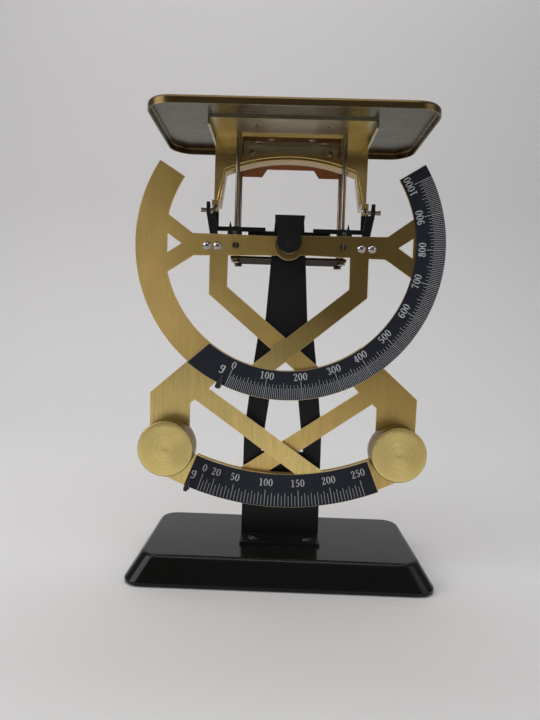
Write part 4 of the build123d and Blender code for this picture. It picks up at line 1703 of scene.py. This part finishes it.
@dataclass
class PanCarrier:
    """Pan, bracket, yoke, arms and rods.

    Attributes:
        sheets: The bent sheets under the pan.
        links: Arms, rods and what ties them.
        rivet_rows: Its rivets.
        yoke_face: The y value of the yoke's front.
        arch_radius: Radius of the edge of the yoke's opening.
        arch_crest: Height of that edge at the middle.
        arch_half: Half the width of the arch.
        leg_half: Half the distance between the legs' feet.
        leg_foot: Height of the feet.
        lip_offsets: Distance of each rolled lip from the edge of the opening.
        lip_radius: Radius of the lips.
        arch_steps: Steps along the arch.
    """

    sheets: tuple[Dressing, ...] = (
        Dressing("pan_bracket", BRACKET_NICKEL, 0.15),
        Dressing("rear_panel", PANEL_PAINT, 0.15),
        Dressing("yoke", YOKE_BRASS, 0.18),
    )
    links: tuple[Dressing, ...] = (
        Dressing("load_arm_left", BLACK_PAINT, 0.15),
        Dressing("load_arm_right", BLACK_PAINT, 0.15),
        Dressing("guide_rods_front", ROD_STEEL, 0.15),
        Dressing("guide_rods_rear", ROD_STEEL, 0.15),
        Dressing("cross_plate", CROSS_BRONZE, 0.15),
        Dressing("rod_nuts", ROD_STEEL, 0.12),
    )
    rivet_rows: tuple[RivetRow, ...] = (
        RivetRow(
            "pan_rivets", ((-20, -14, 65.5), (20, -14, 65.5), (-20, 14, 65.5), (20, 14, 65.5)),
            ROD_STEEL, radius=2.2, height=0.8, grip=2.0, shank=1.2, upward=True, tail=0.0,
        ),
        RivetRow(
            "yoke_rivets", ((-36, 4.4, 64.3), (-12, 4.4, 64.3), (12, 4.4, 64.3), (36, 4.4, 64.3)),
            ROD_STEEL, radius=2.0, height=0.7, grip=2.4, shank=1.2, upward=True, tail=0.0,
        ),
        RivetRow(
            "rear_panel_rivets", ((-24.0, 20.8, 62.2), (24.0, 20.8, 62.2)),
            ROD_STEEL, radius=1.7, height=0.6, grip=2.2, shank=1.0,
        ),
        RivetRow(
            "load_arm_rivets", ((-42.2, -10.2, 21.2), (42.2, -10.2, 21.2)),
            ROD_STEEL, radius=1.7, height=0.6, grip=3.2, shank=1.0,
        ),
    )
    yoke_face: float = -0.4
    arch_radius: float = 98.0
    arch_crest: float = 51.0
    arch_half: float = 37.6
    leg_half: float = 40.5
    leg_foot: float = 25.0
    lip_offsets: tuple[float, ...] = (0.5, 2.3)
    lip_radius: float = 0.34
    arch_steps: int = 32

    def lip(self, offset: float) -> list[Vector]:
        """Path of a rolled lip up one leg, along the arch and down the other leg.

        Args:
            offset: Distance from the opening's edge in millimetres.

        Returns:
            Points in metres, from the left foot to the right foot.
        """
        centre = self.arch_crest - self.arch_radius
        reach = math.asin(self.arch_half / self.arch_radius)
        radius = self.arch_radius + offset
        line = [(-self.leg_half - offset, self.leg_foot)]
        for step in range(self.arch_steps + 1):
            turn = reach * (2 * step / self.arch_steps - 1)
            line.append((radius * math.sin(turn), centre + radius * math.cos(turn)))
        line.append((self.leg_half + offset, self.leg_foot))
        return [place(x, self.yoke_face, z) for x, z in line]

    def build(self, bench: Bench, repeater: Repeater) -> None:
        """Dress every piece that slides.

        Args:
            bench: Where finished pieces go.
            repeater: The trees that repeat rivets.
        """
        bench.keep("pan", PAN_NICKEL)
        for sheet in self.sheets:
            bench.soften(sheet)
        lips = wire("yoke_lips", [self.lip(offset) for offset in self.lip_offsets], self.lip_radius)
        bench.adopt(lips, "pan_carrier", LIP_BRASS)
        for link in self.links:
            bench.soften(link)
        for row in self.rivet_rows:
            row.build(bench, repeater)


@dataclass(frozen=True)
class Lamp:
    """A soft rectangular light, with its sizes in metres.

    Attributes:
        name: Its name.
        spot: Its place.
        target: The point that it faces.
        size: Its width and height.
        power: Its power in watts.
        colour: Its colour.
    """

    name: str
    spot: Spot
    target: Spot
    size: Point
    power: float
    colour: Colour = (1.0, 1.0, 1.0)

    def build(self) -> None:
        """Hang the light and aim it."""
        lamp = bpy.data.lights.new(self.name, "AREA")
        lamp.shape = "RECTANGLE"
        lamp.size, lamp.size_y = self.size
        lamp.energy = self.power
        lamp.color = self.colour
        holder = bpy.data.objects.new(self.name, lamp)
        bpy.context.scene.collection.objects.link(holder)
        aim = Vector(self.target) - Vector(self.spot)
        facing = aim.to_track_quat("-Z", "Y").to_matrix().to_4x4()
        holder.matrix_world = Matrix.Translation(self.spot) @ facing


OBJECT_MIDDLE: Spot = (0.0, 0.0, 0.13)
LAMPS = (
    Lamp("key_window", (-0.95, -0.50, 0.70), OBJECT_MIDDLE, (0.8, 0.8), 5.3, (1.0, 0.99, 0.97)),
    Lamp("right_fill", (0.95, -0.55, 0.40), OBJECT_MIDDLE, (0.7, 0.7), 1.3, (0.98, 0.99, 1.0)),
    Lamp("top_glow", (-0.10, -0.20, 1.05), OBJECT_MIDDLE, (0.9, 0.6), 1.2),
    Lamp("front_wash", (0.0, -0.50, 0.95), (0.0, -0.34, 0.0), (0.6, 0.25), 1.0, (1.0, 0.99, 0.97)),
    Lamp("wall_wash", (0.0, 0.45, 1.60), (0.0, 0.85, 0.30), (1.6, 0.3), 6.0),
)


@dataclass
class Studio:
    """Pale sweep, soft lights and the camera.

    Attributes:
        lamps: The lights.
        paper: Colour of the sweep.
        fibre: Colour of its fibres.
        fibre_share: How strongly they show.
        back: The y value at which the floor starts to bend up.
        bend: Radius of the bend.
        bend_steps: Steps round the bend.
        front: How far the floor comes forward.
        wide: Half the width of the sweep.
        tall: Height of its wall.
        fade_from: Distance from the start of the bend at which the paper starts to fade out.
        fade_to: Distance at which it has gone.
        low_air: Colour of the surroundings near the ground.
        high_air: Their colour overhead.
        seen_air: Their colour where the camera sees them.
        air_strength: Their strength.
        eye: The camera's place in layout millimetres.
        pitch: Its tilt up in degrees.
        yaw: Its turn to the left in degrees.
        roll: Its lean in degrees.
        lens: Its focal length in millimetres.
        sensor: Its sensor's width in millimetres.
    """

    lamps: tuple[Lamp, ...] = LAMPS
    paper: Colour = (0.84, 0.83, 0.83)
    fibre: Colour = (0.5, 0.5, 0.54)
    fibre_share: float = 0.06
    back: float = 0.45
    bend: float = 0.40
    bend_steps: int = 12
    front: float = 2.2
    wide: float = 2.2
    tall: float = 1.8
    fade_from: float = 1.15
    fade_to: float = 1.75
    low_air: Colour = (0.14, 0.135, 0.13)
    high_air: Colour = (0.50, 0.50, 0.51)
    seen_air: Colour = (1.0, 1.0, 1.01)
    air_strength: float = 0.5
    eye: Spot = (-3.8, -329.7, -47.3)
    pitch: float = -3.0
    yaw: float = 0.86
    roll: float = 1.81
    lens: float = 28.0
    sensor: float = 36.0

    def build(self) -> None:
        """Set up everything round the object."""
        self._sweep()
        self._world()
        for lamp in self.lamps:
            lamp.build()
        self._camera()
        LOG.info("studio with %d lights", len(self.lamps))

    def _sweep(self) -> None:
        """Lay the paper: a floor that bends up into a wall."""
        line = [(-self.front, 0.0), (self.back, 0.0)]
        for step in range(1, self.bend_steps + 1):
            turn = math.radians(90 * step / self.bend_steps)
            rise = self.bend * (1 - math.cos(turn))
            line.append((self.back + self.bend * math.sin(turn), rise))
        line.append((self.back + self.bend, self.tall))
        shape = bmesh.new()
        rows = [[shape.verts.new((x, y, z)) for x in (-self.wide, self.wide)] for y, z in line]
        for near, far in zip(rows, rows[1:]):
            shape.faces.new((near[0], near[1], far[1], far[0]))
        mesh = mesh_of(shape, "paper_sweep")
        mesh.shade_smooth()
        sweep = new_object("paper_sweep", mesh)
        sweep.data.materials.append(self._paper_material())

    def _paper_material(self) -> bpy.types.Material:
        """Matt paper that fades out far from the object.

        Returns:
            The material.
        """
        material = bpy.data.materials.new("pale_paper")
        material.use_nodes = True
        material.node_tree.nodes.clear()
        g = Graph(material.node_tree)
        spot = g.add("ShaderNodeTexCoord").outputs["Object"]
        fibres = g.math("MULTIPLY", g.noise(spot, 700.0, detail=3.0), self.fibre_share)
        shift = {"Vector": spot, "Location": (0.0, -self.back, 0.0)}
        away = g.length(g.add("ShaderNodeMapping", shift).outputs[0])
        shader = g.add("ShaderNodeBsdfPrincipled", {
            "Base Color": g.mix(fibres, self.paper, self.fibre),
            "Roughness": 0.95,
            "Specular IOR Level": 0.1,
            "Alpha": g.remap(away, self.fade_from, self.fade_to, 1.0, 0.0, "SMOOTHSTEP"),
        })
        g.add("ShaderNodeOutputMaterial", {"Surface": shader.outputs[0]})
        return material

    def _world(self) -> None:
        """Surround the scene with soft light, even and pale to the camera."""
        world = bpy.data.worlds.new("soft_room")
        bpy.context.scene.world = world
        world.use_nodes = True
        world.node_tree.nodes.clear()
        g = Graph(world.node_tree)
        direction = g.add("ShaderNodeTexCoord").outputs["Generated"]
        height = g.add("ShaderNodeSeparateXYZ", {0: direction}).outputs[Axis.Z.value]
        air = g.mix(g.remap(height, -0.1, 0.8), self.low_air, self.high_air)
        seen = g.add("ShaderNodeLightPath").outputs["Is Camera Ray"]
        colour = g.mix(seen, air, self.seen_air)
        shell = g.add("ShaderNodeBackground", {"Color": colour, "Strength": self.air_strength})
        g.add("ShaderNodeOutputWorld", {"Surface": shell.outputs[0]})

    def _camera(self) -> None:
        """Set the camera at the photograph's viewing angle."""
        view = bpy.data.cameras.new("viewer")
        view.lens = self.lens
        view.sensor_width = self.sensor
        view.clip_start = 0.01
        holder = bpy.data.objects.new("viewer", view)
        bpy.context.scene.collection.objects.link(holder)
        yaw = Matrix.Rotation(math.radians(self.yaw), 4, "Z")
        pitch = Matrix.Rotation(math.radians(90 + self.pitch), 4, "X")
        roll = Matrix.Rotation(math.radians(self.roll), 4, "Z")
        holder.matrix_world = Matrix.Translation(place(*self.eye)) @ yaw @ pitch @ roll
        bpy.context.scene.camera = holder


def main() -> None:
    """Dress the whole scale and set the studio."""
    logging.basicConfig(level=logging.INFO, format="%(message)s")
    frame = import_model()
    bench = Bench(frame, Palette(SurfaceEffects()))
    repeater = Repeater()
    parts = (
        Stand(),
        Sector(Side.RIGHT, SECTOR_BRASS_RIGHT_SHADED, sheet_front=-18.6, weight_front=-32.6),
        Sector(Side.LEFT, SECTOR_BRASS_LEFT_LIT, sheet_front=-14.6, weight_front=-28.6),
        Readout(),
        PanCarrier(),
    )
    for part in parts:
        part.build(bench, repeater)
    Studio().build()
    bpy.context.scene.view_settings.view_transform = "Standard"


if __name__ == "__main__":
    main()
